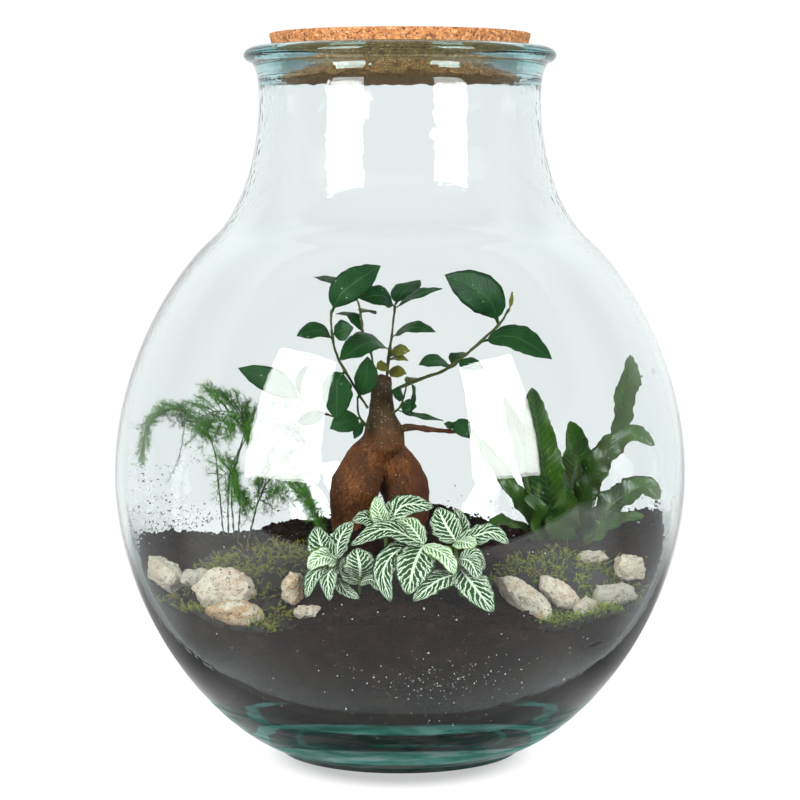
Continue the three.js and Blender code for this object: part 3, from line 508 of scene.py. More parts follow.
def tableMaterial():
    # white, with a painted soft shadow close round the foot, lighter right under it; it fades into the
    # backdrop behind the jar, and a mirrored ray sees it dimmer, most of all the strip in front of the jar
    # and the table to both sides
    material = bpy.data.materials.new("whiteTable")
    material.use_nodes = True
    tree = material.node_tree
    w = Wire(tree)
    x, y, _ = w.split(w.place())
    mirrored = w.node("LightPath", output="Glossy Depth").step(0.4, 0.6)
    strip = y.step(0.10, -0.20) * abs(x).step(0.34, 0.14)
    away = (x * x + y * y) ** 0.5
    around = ((x * 1.22) ** 2.0 + (y + 0.014) ** 2.0) ** 0.5
    # painted shadow round the foot, lighter right under the foot
    contact = around.step(0.100, 0.066) * (1 - 0.80 * away.step(0.068, 0.050))
    aside = abs(x).step(0.12, 0.19) * y.step(-0.15, 0.0) * studio["asideDimmed"]
    shade = 1 - mirrored * (strip * studio["stripDimmed"] + aside + studio["tableDimmed"])
    shade = shade * (1 - contact * studio["contactShade"])
    shader = tree.nodes["Principled BSDF"]
    w.feed(shader.inputs["Base Color"], w.joinXyz(*[shade * studio["tableWhite"]] * 3))
    w.feed(shader.inputs["Emission Color"], w.joinXyz(shade, shade, shade))
    w.feed(shader.inputs["Emission Strength"], studio["tableGlow"])
    w.feed(shader.inputs["Roughness"], 0.9)
    w.feed(shader.inputs["Specular IOR Level"], 0.1)
    far = y.step(0.22, 0.60).most(abs(x).step(0.8, 1.4))
    faded = w.shaders(far, Wire(tree, shader.outputs[0]), w.node("BsdfTransparent"))
    tree.links.new(faded.socket, tree.nodes["Material Output"].inputs["Surface"])
    return material


floorMesh = bpy.data.meshes.new("floor")
front, side, back = studio["floor"]
corners = [(-side, front, 0), (side, front, 0), (side, back, 0), (-side, back, 0)]
floorMesh.from_pydata(corners, [], [(0, 1, 2, 3)])
floorMesh.materials.append(tableMaterial())
intoScene("floor", floorMesh)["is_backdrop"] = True
print("camera, lamps and floor")


# Glass jar

jar = {
    "foot": 70.0, "hollow": 2.0, "floor": 15.5, "wall": 4.6, "sides": 176,
    "belly": 166.0, "bellyHeight": 163.0, "bellyHandles": (88, 225),
    "shoulder": (108.3, 300.2), "shoulderWay": (-0.763, 0.647), "shoulderHandles": (30.8, 18.5),
    "neck": 81.6, "neckHeights": (343, 380), "curvePoints": (60, 40, 30),
    "flare": [(81.6, 382), (81.6, 389), (82.2, 393), (84.5, 398.5)],
    "lip": [(72.9, 402.5), (73.6, 398), (77.0, 395), (77.0, 386)],
    "rim": (81.4, 404.6), "rimHalf": (8.9, 5.0), "rimTurn": (-62, 190),
    "ior": 1.5, "tint": (0.20, 0.71, 0.72), "tintDensity": 15.0, "shadowTint": (0.86, 0.90, 0.90),
    "layerTint": (0.36, 0.66, 0.58), "rimTint": (0.40, 0.68, 0.70),
    # heights in metres between which the layers, the rim's lines and the ripples set in
    "layers": (0.044, 0.030), "rolled": (0.3990, 0.4015), "rippled": (0.29, 0.33),
}


def jarCurves(inset, start):
    # the bowl from its first two handles, the upper belly and the shoulder: Bezier curves moved in by inset
    belly, neck = jar["belly"] - inset, jar["neck"] - inset
    sx, sz = jar["shoulderWay"]
    mx, mz = jar["shoulder"][0] - inset * sz, jar["shoulder"][1] + inset * sx
    before, after = jar["shoulderHandles"]
    widest = (belly, jar["bellyHeight"])
    below, above = jar["bellyHandles"]
    neckLow, neckHigh = jar["neckHeights"]
    counts = jar["curvePoints"]
    bowl = bezier([*start, (belly, below), widest], counts[0])
    upper = bezier([widest, (belly, above), (mx - before * sx, mz - before * sz), (mx, mz)], counts[1])
    leaving = (mx + after * sx, mz + after * sz)
    shoulder = bezier([(mx, mz), leaving, (neck, neckLow), (neck, neckHigh)], counts[2])
    return np.vstack([bowl, upper[1:], shoulder[1:]])


outerWall = jarCurves(0, [(71.5, 2.5), (114.5, 17.5)])
innerWall = jarCurves(jar["wall"], [(46, jar["floor"]), (108, 16.5)])


def innerRadius(height):
    # radius of the inner wall at a height
    return np.interp(height, innerWall[:, 1], innerWall[:, 0])


def lathe(mould, profile, sides):
    # a profile from axis to axis turned about +Z
    profile = np.asarray(profile, float)
    angle = circle(sides)
    rings = turned(profile[1:-1, :1], angle, profile[1:-1, 1:])
    mould.skin(rings, (0, 0, profile[0, 1]), (0, 0, profile[-1, 1]))


def buildJar():
    # profile: hollow foot, outer wall, flared neck, rolled rim, inner wall, floor
    foot, hollow, floorHeight = jar["foot"], jar["hollow"], jar["floor"]
    ring = [(0, hollow), (30, hollow), (foot - 13, hollow), (foot - 11.5, 1.2), (foot - 10, 0.1),
            (foot - 9, 0), (foot - 1, 0), (foot, 0.3)]
    angle = np.radians(np.linspace(*jar["rimTurn"], 40))
    rim = np.array(jar["rim"]) + np.array(jar["rimHalf"]) * np.stack([np.cos(angle), np.sin(angle)], 1)
    profile = np.vstack([ring, outerWall, bezier(jar["flare"], 10), rim, bezier(jar["lip"], 12),
                         innerWall[::-1], [(20, floorHeight), (0, floorHeight)]])
    mould = Mould()
    lathe(mould, profile, jar["sides"])
    points = mould.points[0]
    # blown glass is never quite even: the wall swells and thins by a tenth of a millimetre
    swell = 0.12 * (cloud(points * [1, 1, 0.5], 45, 5, 2) - 1)
    radius = np.linalg.norm(points[:, :2], axis=1, keepdims=True)
    # shallow rings round the lower half, as left by the mould
    height = points[:, 2]
    spot = np.stack([points[:, 0] * 0.05, points[:, 1] * 0.05, height], 1)
    outside = (radius[:, 0] > innerRadius(height) + 2.5) & (height > 4)
    depth = (0.05 + 0.20 * blend(60, 30, height)) * blend(150, 110, height)
    swell += outside * (cloud(spot, 7, 6, 2) - 0.6) * depth
    points[:, :2] *= 1 + np.where(points[:, 2:] > 4, swell[:, None], 0) / np.maximum(radius, 40)
    return mould


def glassMaterial():
    # clear glass with a blue-green tint that deepens where it is thick; lamps light the planting through it
    material = bpy.data.materials.new("recycledGlass")
    material.use_nodes = True
    tree = material.node_tree
    tree.nodes.remove(tree.nodes["Principled BSDF"])
    output = tree.nodes["Material Output"]
    w = Wire(tree)
    place = w.place()
    across, _, height = w.split(place)
    ripples = w.noise(place, 230.0, 0.0) * (0.012 + 0.075 * height.step(*jar["rippled"]))
    uneven = w.bump(0.45 * w.noise(place, 11.0, 0.0) + ripples, 1.0, 0.001)

    def glass(color):
        sockets = {"Roughness": 0.0, "IOR": jar["ior"], "Color": (*color, 1), "Normal": uneven}
        return w.node("BsdfGlass", (), sockets)

    # the thick base has darker layers, each at its own height, and the rolled rim has fine blue lines
    layers = w.noise(w.joinXyz(across * 0.15, 0.0, height), 210.0, 2.0).step(0.42, 0.58)
    low = height.step(*jar["layers"]) * (0.25 + 0.75 * layers)
    lines = w.noise(w.joinXyz(0.0, 0.0, height), 900.0, 1.0).step(0.40, 0.60)
    rolled = height.step(*jar["rolled"]) * (0.05 + 0.45 * lines)
    body = w.shaders(low, glass((1, 1, 1)), glass(jar["layerTint"]))
    body = w.shaders(rolled, body, glass(jar["rimTint"]))
    clear = w.node("BsdfTransparent", (), {"Color": (*jar["shadowTint"], 1)})
    shadow = w.node("LightPath", output="Is Shadow Ray").most(w.node("LightPath", output="Is Diffuse Ray"))
    tree.links.new(w.shaders(shadow, body, clear).socket, output.inputs["Surface"])
    depth = w.node("VolumeAbsorption", (), {"Color": (*jar["tint"], 1), "Density": jar["tintDensity"]})
    tree.links.new(depth.socket, output.inputs["Volume"])
    return material


addPiece("glassJar", buildJar(), glassMaterial(), ["glass_jar"])
print("glass jar")


# Cork stopper

cork = {
    "top": 417.0, "thickness": 23.5, "topRadius": 75.6, "bottomRadius": 69.0, "chamfer": 1.2, "sides": 208,
    # below these heights in metres the side takes the side colour, which is painted shade
    "paintedShadeBelow": (0.4100, 0.4070), "grain": 420.0,
    "pale": (0.62, 0.262, 0.092), "tan": (0.43, 0.155, 0.046), "light": (0.76, 0.37, 0.155),
    # side: painted shade on the cork's side
    "brown": (0.22, 0.08, 0.03), "dark": (0.08, 0.030, 0.010), "side": (0.105, 0.060, 0.012),
}


def buildCork():
    # a tapered disc with softened edges, its skin pitted where granules have come away
    high, thick, c = cork["top"], cork["thickness"], cork["chamfer"]
    low, wide, narrow = high - thick, cork["topRadius"], cork["bottomRadius"]
    share = np.linspace(0, 1, 26)[1:-1, None]
    wall = np.hstack([narrow + (wide - narrow) * share, low + thick * share])
    edgeLow = [(narrow - c, low), (narrow - 0.4 * c, low + 0.2 * c)]
    edgeHigh = [(wide - 0.4 * c, high - 0.2 * c), (wide - c, high)]
    across = np.linspace(0, 1, 34)[:-1, None]
    bottom = np.hstack([across * (narrow - c), np.full_like(across, low)])
    top = np.hstack([across[::-1] * (wide - c), np.full_like(across, high)])
    mould = Mould()
    lathe(mould, np.vstack([bottom, edgeLow, wall, edgeHigh, top]), cork["sides"])
    points = mould.points[0]
    pits = np.clip(cloud(points, 3.2, 11, 2) - 0.25, 0, 1) * 1.1
    points += unit(np.array([0, 0, high - thick / 2]) - points) * pits[:, None]
    # the lower edge is crumbly
    worn = blend(3.0, 0.0, points[:, 2] - low) * np.clip(cloud(points * [1, 1, 0], 4.5, 13, 2) + 0.25, 0, 1)
    points[:, 2] += 3.4 * worn * blend(56, 66, np.hypot(points[:, 0], points[:, 1]))
    return mould


def corkRecipe(w):
    # granules of three browns with darker seams, chips and flecks, and painted shade on the side
    place = w.place()
    shade = w.node("SeparateColor", (), {0: w.cells(place, cork["grain"], output="Color")})
    seam = w.cells(place, cork["grain"], "DISTANCE_TO_EDGE").step(0.16, 0.02)
    fleck = w.noise(place, 780.0, 2.0, 0.6).step(0.57, 0.63)
    chip = w.noise(w.stretched(place, (1, 1, 1.3)), 620.0, 1.0).step(0.62, 0.70)
    body = shade.ramp((0.0, cork["tan"]), (0.35, cork["pale"]), (0.8, cork["light"]), (0.97, cork["brown"]))
    # painted shade: the cork's side below its top edge is darkened towards the side colour
    side = w.split(place)[2].step(*cork["paintedShadeBelow"])
    body = w.layered(
        body, (seam * 0.65, cork["tan"]), (side * 0.72, cork["side"]), (chip * 0.6, cork["light"]),
        (fleck * 0.9, cork["dark"]))
    height = shade * 0.5 - seam * 0.6 - fleck * 0.8
    return {"Base Color": body, "Normal": w.bump(height, 0.7, 0.0007)}


corkMaterial = makeMaterial("pressedCork", corkRecipe, Roughness=0.85)
addPiece("corkStopper", buildCork(), corkMaterial, ["cork_stopper"])
print("cork stopper")


# Soil

soil = {
    "level": 116.0,
    "mounds": [  # x, y, rise, spread
        (-10, 35, 10, 46), (-105, 25, 3, 36), (-152, 12, 4, 32), (100, 25, 5, 34), (160, 30, 18, 34),
        (0, -150, -12, 60), (-90, -118, -23, 42), (97, -114, -23, 42), (-150, -62, -15, 30),
        (150, -62, -14, 30), (10, 90, 13, 30), (-105, 130, -12, 46), (90, 130, -7, 40), (-68, 72, 6, 16),
    ],
    "sides": 330, "topRows": 100, "wallRows": 50, "gap": 0.45,
    "crumbs": 2600, "grains": 620, "frontGrains": 340, "dirt": 1300, "specks": 3000, "lineCrumbs": 1500,
    "seed": 5, "nearWall": 150.0,
    # sizes and heights: least, how much more, and the power that makes the larger ones rare
    "grainSize": (0.35, 0.75, 3), "sunkSize": (0.22, 0.55, 4), "frontSize": (0.16, 0.40, 3),
    "dirtSize": (0.20, 0.50, 2.5), "speckSize": (0.16, 0.50, 2.5), "dirtHigh": (0, 46, 2.2),
    "specksHigh": (0, 62, 1.9),
    "specksTurn": (-242, 150),  # first angle and how far round, in degrees
    "frontPatch": (-80, 12, 69, 9),  # angle in degrees and its spread, height and its spread
    "dark": (0.004, 0.0015, 0.0012), "brown": (0.017, 0.0068, 0.0052), "warm": (0.050, 0.025, 0.018),
    "chip": (0.09, 0.05, 0.03), "dull": (0.62, 0.58, 0.52), "pale": (0.85, 0.84, 0.80),
}


def soilHeight(x, y):
    # a level raised and sunk by round mounds and hollows
    height = soil["level"] + 1.2 * np.sin(x / 7 + 1) * np.cos(y / 6)
    for mx, my, rise, spread in soil["mounds"]:
        height = height + rise * np.exp(-((x - mx) ** 2 + (y - my) ** 2) / (2 * spread ** 2))
    return height


def crumble(x, y):
    # small lumps of the surface
    p = np.stack([x, y, np.zeros_like(x)], -1)
    return 1.6 * cloud(p, 9, 21, 2) + 1.3 * np.abs(cloud(p, 3.6, 22, 2))


def onSoil(radius, angle):
    # points of the soil's surface
    x, y = radius * np.cos(angle), radius * np.sin(angle)
    return np.stack([x, y, soilHeight(x, y) + crumble(x, y)], -1)


def wallEdge(angle):
    # where the soil's surface meets the glass: radius and height, found by a few rounds of correction
    radius = np.full_like(angle, soil["nearWall"])
    for _ in range(20):
        height = onSoil(radius, angle)[..., 2]
        radius = innerRadius(height) - soil["gap"]
    return radius, height


def buildSoil():
    # top: a disc of rings out to the wall; then down the inside of the wall to the jar's floor
    angle = circle(soil["sides"])
    edge, edgeHeight = wallEdge(angle)
    share = np.linspace(0, 1, soil["topRows"] + 1)[1:, None] ** 0.9
    top = onSoil(share * edge, angle)
    down = np.linspace(0, 1, soil["wallRows"] + 1)[1:, None]
    lowest = jar["floor"] + 0.5
    z = edgeHeight + (lowest - edgeHeight) * down
    r = np.minimum(innerRadius(z) - soil["gap"], edge)
    wall = turned(r, angle, z)
    pores = np.clip(cloud(wall, 5, 31, 3), 0, 1) * 1.2 * np.sin(np.pi * np.minimum(down * 4, 1) / 2)
    wall[..., :2] *= 1 - (pores / np.maximum(r, 20))[..., None]
    mould = Mould()
    mould.skin(np.concatenate([top, wall])[::-1], (0, 0, lowest), (0, 0, float(soilHeight(0.0, 0.0))))
    return mould


def soilRecipe(w):
    # dark crumbs with a few paler chips
    place = w.place()
    coarse, fine = w.noise(place, 70.0, 5.0, 0.7), w.noise(place, 620.0, 4.0, 0.7)
    lumps = w.cells(place, 460.0)
    color = (0.6 * coarse + 0.4 * fine).ramp((0.30, soil["dark"]), (0.5, soil["brown"]), (0.72, soil["warm"]))
    chip = w.node("SeparateColor", (), {0: w.cells(place, 300.0, output="Color")}).step(0.93, 0.96)
    color = w.mix(chip * lumps.step(0.5, 0.25) * 0.5, color, soil["chip"])
    return {"Base Color": color, "Normal": w.bump(fine * 0.9 - lumps * 0.35 + coarse, 0.9, 0.0012)}


def grainRecipe(w):
    # from dull to pale by each grain's own mark
    return {"Base Color": w.marks()[2].ramp((0.0, soil["dull"]), (0.8, soil["pale"]))}


soilMaterial = makeMaterial("pottingSoil", soilRecipe, Roughness=0.95, Specular_IOR_Level=0.12)
addPiece("soilBed", buildSoil(), soilMaterial, ["soil_bed"])

lumpPoints = unit(np.array([(1, 1, 1), (1, -1, -1), (-1, 1, -1), (-1, -1, 1), (1.2, 0, 0), (-1.2, 0, 0),
                            (0, 1.2, 0), (0, -1.2, 0), (0, 0, 1.2), (0, 0, -1.2)], float))


def lumpFaces():
    # faces of the lump's hull: each three points that have all the others behind them
    faces = []
    for i in range(10):
        for j in range(i + 1, 10):
            for k in range(j + 1, 10):
                a, b, c = lumpPoints[[i, j, k]]
                n = np.cross(b - a, c - a)
                s = (lumpPoints - a) @ n
                if (s < 1e-6).all() or (s > -1e-6).all():
                    faces.append((i, j, k) if (s < 1e-6).all() else (i, k, j))
    return faces


def scatterLumps(mould, centres, sizes, rng):
    # small angular lumps at their centres, each turned and stretched in its own way
    count = len(centres)
    a, b, c, d = unit(rng.normal(size=(count, 4))).T
    rows = [[1 - 2 * (c * c + d * d), 2 * (b * c - a * d), 2 * (b * d + a * c)],
            [2 * (b * c + a * d), 1 - 2 * (b * b + d * d), 2 * (c * d - a * b)],
            [2 * (b * d - a * c), 2 * (c * d + a * b), 1 - 2 * (b * b + c * c)]]
    matrix = np.moveaxis(np.array(rows), 2, 0)
    stretch = rng.uniform(0.6, 1.2, (count, 1, 3)) * rng.uniform(0.75, 1.15, (count, 10, 1))
    points = np.einsum("nij,nkj->nki", matrix, lumpPoints[None] * stretch) * sizes[:, None, None]
    marks = np.zeros(points.shape)
    marks[..., 2] = rng.uniform(size=(count, 1))
    mould.copies(points + centres[:, None], lumpFaces(), marks)


def skewed(rng, count, least, more, power):
    # random numbers from least to least + more
    return least + more * rng.uniform(0, 1, count) ** power


def anyAngle(count, rng):
    # random angles all the way round
    return rng.uniform(0, 2 * np.pi, count)


def discPoints(count, rng):
    # random places on the soil's surface
    angle = anyAngle(count, rng)
    edge, _ = wallEdge(angle)
    return onSoil(np.sqrt(rng.uniform(0, 1, count)) * (edge - 3), angle)


def buildCrumbs(rng):
    # loose crumbs all over the soil
    mould = Mould()
    centres = discPoints(soil["crumbs"], rng)
    scatterLumps(mould, centres, rng.uniform(0.7, 2.6, len(centres)), rng)
    return mould


def buildGrains(rng):
    # pale grains on the soil, in it along the glass, and in a fine patch low in front
    mould = Mould()
    onTop = discPoints(soil["grains"] // 3, rng)
    scatterLumps(mould, onTop + [0, 0, 0.6], skewed(rng, len(onTop), *soil["grainSize"]), rng)
    angle = anyAngle(soil["grains"], rng)
    _, line = wallEdge(angle)
    z = np.maximum(line - 75 + 75 * rng.uniform(0, 1, len(angle)), jar["floor"] + 4)
    size = skewed(rng, len(angle), *soil["sunkSize"])
    scatterLumps(mould, turned(innerRadius(z) - 0.75, angle, z), size, rng)
    turn, turnSpread, middle, spread = soil["frontPatch"]
    angle = math.radians(turn) + math.radians(turnSpread) * rng.normal(size=soil["frontGrains"])
    z = np.clip(middle + spread * rng.normal(size=len(angle)), 30, 92)
    size = skewed(rng, len(angle), *soil["frontSize"])
    scatterLumps(mould, turned(innerRadius(z) - 0.7, angle, z), size, rng)
    return mould


def onGlass(mould, angle, z, size, rng):
    # lumps that stick to the inside of the glass
    scatterLumps(mould, turned(innerRadius(z) - soil["gap"] - size, angle, z), size, rng)


def buildDirt(rng):
    # specks above the soil all round, in loose clusters
    mould = Mould()
    high = skewed(rng, soil["dirt"], *soil["dirtHigh"])
    angle = anyAngle(soil["dirt"], rng)
    z = wallEdge(angle)[1] + high
    keep = cloud(turned(soil["nearWall"], angle, z), 26, 77, 2) > -0.05 + high / 130
    z, angle = z[keep], angle[keep]
    onGlass(mould, angle, z, skewed(rng, len(z), *soil["dirtSize"]), rng)
    # splashes on the left of the glass: front and back, thick low down and sparse high up
    turn, sweep = soil["specksTurn"]
    angle = math.radians(turn) + math.radians(sweep) * rng.uniform(0, 1, soil["specks"])
    line = np.maximum(wallEdge(angle)[1], 134 + 14 * np.sin(angle + math.pi / 2 + 0.6))
    high = skewed(rng, len(angle), *soil["specksHigh"])
    keep = cloud(turned(soil["nearWall"], angle, line + high), 17, 78, 3) > -0.25 + high / 85
    angle, z = angle[keep], (line + high)[keep]
    onGlass(mould, angle, z, skewed(rng, len(z), *soil["speckSize"]), rng)
    # crumbs along the soil's upper edge
    angle = anyAngle(soil["lineCrumbs"], rng)
    clump = blend(-0.2, 0.5, cloud(turned(soil["nearWall"], angle, 0.0), 7, 79, 2))
    z = wallEdge(angle)[1] + skewed(rng, len(angle), 0, 0.5 + 6.0 * clump, 1.6)
    onGlass(mould, angle, z, rng.uniform(0.5, 1.3, len(angle)), rng)
    return mould


soilRandom = np.random.default_rng(soil["seed"])
grainMaterial = makeMaterial("paleGrain", grainRecipe, Roughness=0.8)
addPiece("soilCrumbs", buildCrumbs(soilRandom), soilMaterial, smooth=False)
addPiece("soilGrains", buildGrains(soilRandom), grainMaterial, smooth=False)
addPiece("wallDirt", buildDirt(soilRandom), soilMaterial, smooth=False)
print("soil")


# Ficus trunk

trunk = {
    "limbs": {
        "stem": ([(-9, 27, 163), (-10, 26, 172), (-9.5, 26, 180), (-10.8, 25, 191), (-11, 25, 203),
                  (-11, 25, 216)], [5, 13, 11.6, 7.8, 6.5, 6]),
        "leftLeg": ([(-13, 25, 180), (-20, 24, 168), (-25.5, 22, 154), (-30.5, 22, 139), (-33, 22, 118)],
                    [7, 12, 15.2, 9.8, 7]),
        "rightLeg": ([(-9, 27, 180), (-4, 28, 168), (2, 31, 154), (4.5, 33, 140), (5, 33, 118)],
                     [6.5, 11, 14, 13, 8]),
        "backRoot": ([(-8, 31, 160), (-3, 40, 147), (0, 46, 133), (2, 50, 118)], [9, 9, 7, 5]),
        "twig": ([(-4, 24, 183), (4, 23, 186), (18, 22, 185), (33, 20, 183.5)], [2.6, 2.0, 1.6, 1.2]),
    },
    "voxel": 0.85, "ridge": 0.45, "hairs": 46, "hairRadii": [0.16, 0.12, 0.06], "seed": 8,
    "warm": (0.215, 0.062, 0.011), "brown": (0.105, 0.031, 0.007), "dark": (0.034, 0.010, 0.003),
    "grey": (0.080, 0.046, 0.018), "greyDark": (0.043, 0.026, 0.011), "speck": (0.55, 0.40, 0.26),
    # dash: pale dashes painted as golden highlights on the bark's fibres
    "dash": (0.42, 0.20, 0.07), "twigDark": (0.055, 0.012, 0.004), "twigRed": (0.125, 0.034, 0.011),
}


def buildTrunk():
    limbs = Mould()
    for line, radii in trunk["limbs"].values():
        tube(limbs, smoothLine(line, 40), radii, 24)
    points, normals, faces = fused(limbs, trunk["voxel"], 5)
    # fine ridges that run down the legs, broader swellings, and a knotty neck
    lean = np.where(points[:, :1] < -12, 0.45, -0.25)
    grain = np.hstack([points[:, :1] - lean * (points[:, 2:] - 150), points[:, 1:2], points[:, 2:] * 0.22])
    ridge = np.abs(cloud(grain, 1.7, 41, 2)) * blend(200, 180, points[:, 2]) + 0.9 * cloud(points, 7, 42, 2)
    knots = blend(178, 190, points[:, 2]) * cloud(points * [1, 1, 1.6], 4, 43, 2)
    reach = trunk["ridge"] * (ridge + 0.8 * knots)
    mould = Mould()
    mould.add(points + normals * reach[:, None], faces)
    rng = np.random.default_rng(trunk["seed"])
    # short loose root hairs on the lower legs, lying close to the bark
    low = np.flatnonzero((points[:, 2] < 150) & (points[:, 2] > 124) & (normals[:, 1] < 0.2))
    for _ in range(trunk["hairs"]):
        start = int(rng.choice(low))
        way = unit(np.cross(normals[start], rng.normal(size=3)))
        length = rng.uniform(3, 8)
        share = np.linspace(0, 1, 5)[:, None]
        line = points[start] + normals[start] * (0.2 + 1.6 * np.sin(np.pi * share)) + way * length * share
        tube(mould, line, trunk["hairRadii"], 4)
    return mould


def barkRecipe(w):
    # brown bark grained along each leg, grey above, with pale specks, pale dashes painted as golden
    # highlights on the fibres, and a red twig to the right
    place = w.place()
    x, y, z = w.split(place)
    side = x.step(-0.0115, -0.0125)
    slanted = w.joinXyz(x - (z - 0.15) * (side * 0.70 - 0.25), y, z * 0.16)
    grain = w.noise(slanted, 900.0, 4.0, 0.7)
    blotch = w.noise(place, 75.0, 3.0)
    high = z.step(0.172, 0.192)
    body = w.mix(blotch.step(0.35, 0.65), trunk["warm"], trunk["brown"])
    specks = w.dots(w.stretched(place, (1, 1, 1.7)), 480.0, (0.26, 0.16), (0.80, 0.86), more=high * 0.30)
    # painted highlights: pale dashes along the fibres of the lower legs
    highlightDashes = w.noise(w.joinXyz(x * 0.35, y * 0.35, z), 1500.0, 2.0).step(0.66, 0.72)
    body = w.layered(
        body, (grain.step(0.56, 0.42) * 0.85, trunk["dark"]),
        (high * 0.85, w.mix(blotch, trunk["grey"], trunk["greyDark"])),
        (specks * 0.75, trunk["speck"]), (highlightDashes * 0.75 * (1 - high), trunk["dash"]),
        (x.step(0.004, 0.010) * 0.8, w.mix(grain, trunk["twigDark"], trunk["twigRed"])))
    height = grain + specks * 0.6 + highlightDashes * 0.4
    return {"Base Color": body, "Normal": w.bump(height, 0.6, 0.0008)}


barkMaterial = makeMaterial("ficusBark", barkRecipe, Roughness=0.72, Specular_IOR_Level=0.25)
addNode("ficus_trunk", buildTrunk(), barkMaterial)
print("ficus trunk")


# Ficus shoots

facing, flat = (0.1, -1, 0.35), (0, -0.35, 1)
stemMarks = (0.5, 0, 4.5)
# stem, radius, then leaves: points from stalk to tip, width, the side it shows, and 1 for a young one
shoots = {
    "ficus_shoot_high_left": ([(-14.5, 26, 211), (-18, 31, 233), (-22, 35, 243), (-25, 39, 261),
                               (-28, 41, 267)], 1.1, [
        ([(-28, 41, 267), (-52, 44, 277)], 13, flat, 0),
        ([(-21.5, 35, 242), (-29, 40, 253), (-39, 44, 254)], 9, flat, 0),
        ([(-25, 38, 254), (-20, 47, 256), (-15, 57, 253)], 11, flat, 0)]),
    "ficus_shoot_left": ([(-19, 20, 198), (-30, 11, 217), (-37, 5, 231), (-40, 1, 246),
                          (-40, -1, 258)], 1.1, [
        ([(-40, -1, 256), (-34, -3, 268), (-11, -2, 285)], 19, facing, 0),
        ([(-39, 3, 241), (-46, -2, 246), (-60, -8, 243)], 14, (0.1, -0.6, 0.75), 0),
        ([(-39, 2, 244), (-27, -6, 248)], 13, facing, 0),
        ([(-33, 9, 221), (-36, 1, 216), (-37, -3, 193)], 18, facing, 0)]),
    "ficus_shoot_far_left": ([(-19, 22, 187), (-34, 12, 192), (-48, 4, 198), (-58, 0, 205)], 0.9, [
        ([(-57, 0, 204), (-74, -5, 216), (-94, -9, 224)], 16, facing, 0),
        ([(-44, 6, 196), (-60, -1, 191)], 9, facing, 0),
        ([(-58, 0, 205), (-59, 2, 217), (-52, 4, 227)], 5, facing, 0)]),
    "ficus_shoot_middle": ([(-8.5, 26, 210), (-7, 24, 226), (-5, 22, 241), (-3, 20, 260)], 1.1, [
        ([(-3, 20, 259), (-10, 11, 266), (-24, 4, 265)], 16, (0.1, -0.75, 0.6), 0),
        ([(-3, 20, 260), (2, 30, 268), (12, 43, 275)], 16, (-0.2, -0.6, 0.8), 0),
        ([(-3, 20, 258), (8, 13, 266), (25, 7, 271)], 11, (0, -0.5, 0.85), 0),
        ([(-5, 22, 241), (6, 13, 247), (21, 4, 245)], 12, (0, -0.6, 0.8), 0),
        ([(-6, 23, 233), (-17, 9, 239), (-35, -12, 229)], 19, (0.1, -0.6, 0.75), 0),
        ([(-7, 24, 224), (-14, 14, 222)], 8, facing, 1),
        ([(-6.5, 24, 228), (4, 35, 230)], 7, flat, 1),
        ([(-7, 24, 220), (4, 14, 219)], 8, facing, 1),
        ([(-6, 23, 232), (6, 13, 233)], 8, facing, 1),
        ([(-6.5, 24, 227), (5, 13, 227)], 6, (0, -0.6, 0.8), 1)]),
    "ficus_shoot_right": ([(-8, 30, 206), (9, 33, 213), (27, 34, 220), (38, 34, 228), (48, 33, 237),
                           (60, 32, 249), (65, 31, 257)], 1.4, [
        ([(59, 32, 248), (53, 24, 263), (26, 16, 279)], 25, facing, 0),
        ([(48, 33, 237), (66, 23, 241), (90, 13, 228)], 19, (0.1, -0.8, 0.6), 0),
        ([(31, 34, 222), (22, 25, 226), (11, 17, 224)], 12, (0, -0.7, 0.7), 0),
        ([(31, 34, 222), (38, 47, 230)], 10, flat, 0),
        ([(34, 34, 225), (50, 22, 222)], 9, facing, 0),
        ([(4, 32, 211), (10, 43, 214)], 9, flat, 1),
        ([(65, 31, 257), (66.5, 30, 263), (67, 30, 268)], 2.6, facing, 1)]),
    "ficus_shoot_low_left": ([(-18, 19, 186), (-24, 12, 194), (-25, 9, 206)], 1, [
        ([(-25, 9, 205), (-20, 7, 216), (-19, 7, 230)], 14, facing, 0),
        ([(-24, 12, 192), (-31, 2, 192), (-41, -6, 188)], 14, facing, 0),
        ([(-22, 14, 191), (-27, 8, 181)], 6, facing, 0)]),
    "ficus_shoot_low_right": ([(-6, 20, 194), (0, 16, 199), (3, 15, 208), (4, 15, 215)], 0.9, [
        ([(4, 15, 214), (8, 11, 212), (6, 8, 194)], 6, (1, -0.5, 0.2), 0),
        ([(0, 16, 199), (10, 8, 200)], 9, facing, 0),
        ([(2, 15, 205), (-5, 5, 209)], 9, facing, 0),
        ([(-2, 18, 197), (12, 10, 194), (26, 4, 192)], 7, flat, 0)]),
    "ficus_twig_leaf": ([(33, 20, 183.5), (31, 17, 190)], 0.8, [
        ([(31, 17, 190), (36, 11, 188), (41, 8, 181)], 11, facing, 0),
        ([(32, 19, 187), (26, 13, 189)], 5, facing, 0)]),
}
ficusLeaf = {
    "rows": 30, "cols": 11, "thickness": 0.55, "fold": 0.16, "foldVaries": 0.1, "curl": 0.10, "quilt": 0.0,
    "ragged": 0.10, "stalkShare": 0.09, "stalk": (0.5, 0.02), "wave": 0.35, "waves": 2.4, "wider": 1.0,
    "seedSteps": (7, 3, 20),
    "deep": (0.005, 0.027, 0.009), "green": (0.011, 0.055, 0.012), "fresh": (0.024, 0.085, 0.018),
    "rib": (0.045, 0.105, 0.032), "young": (0.17, 0.15, 0.022), "under": (0.045, 0.11, 0.040),
    "stem": (0.045, 0.070, 0.018), "woody": (0.11, 0.095, 0.038), "dot": (0.75, 0.78, 0.74),
}


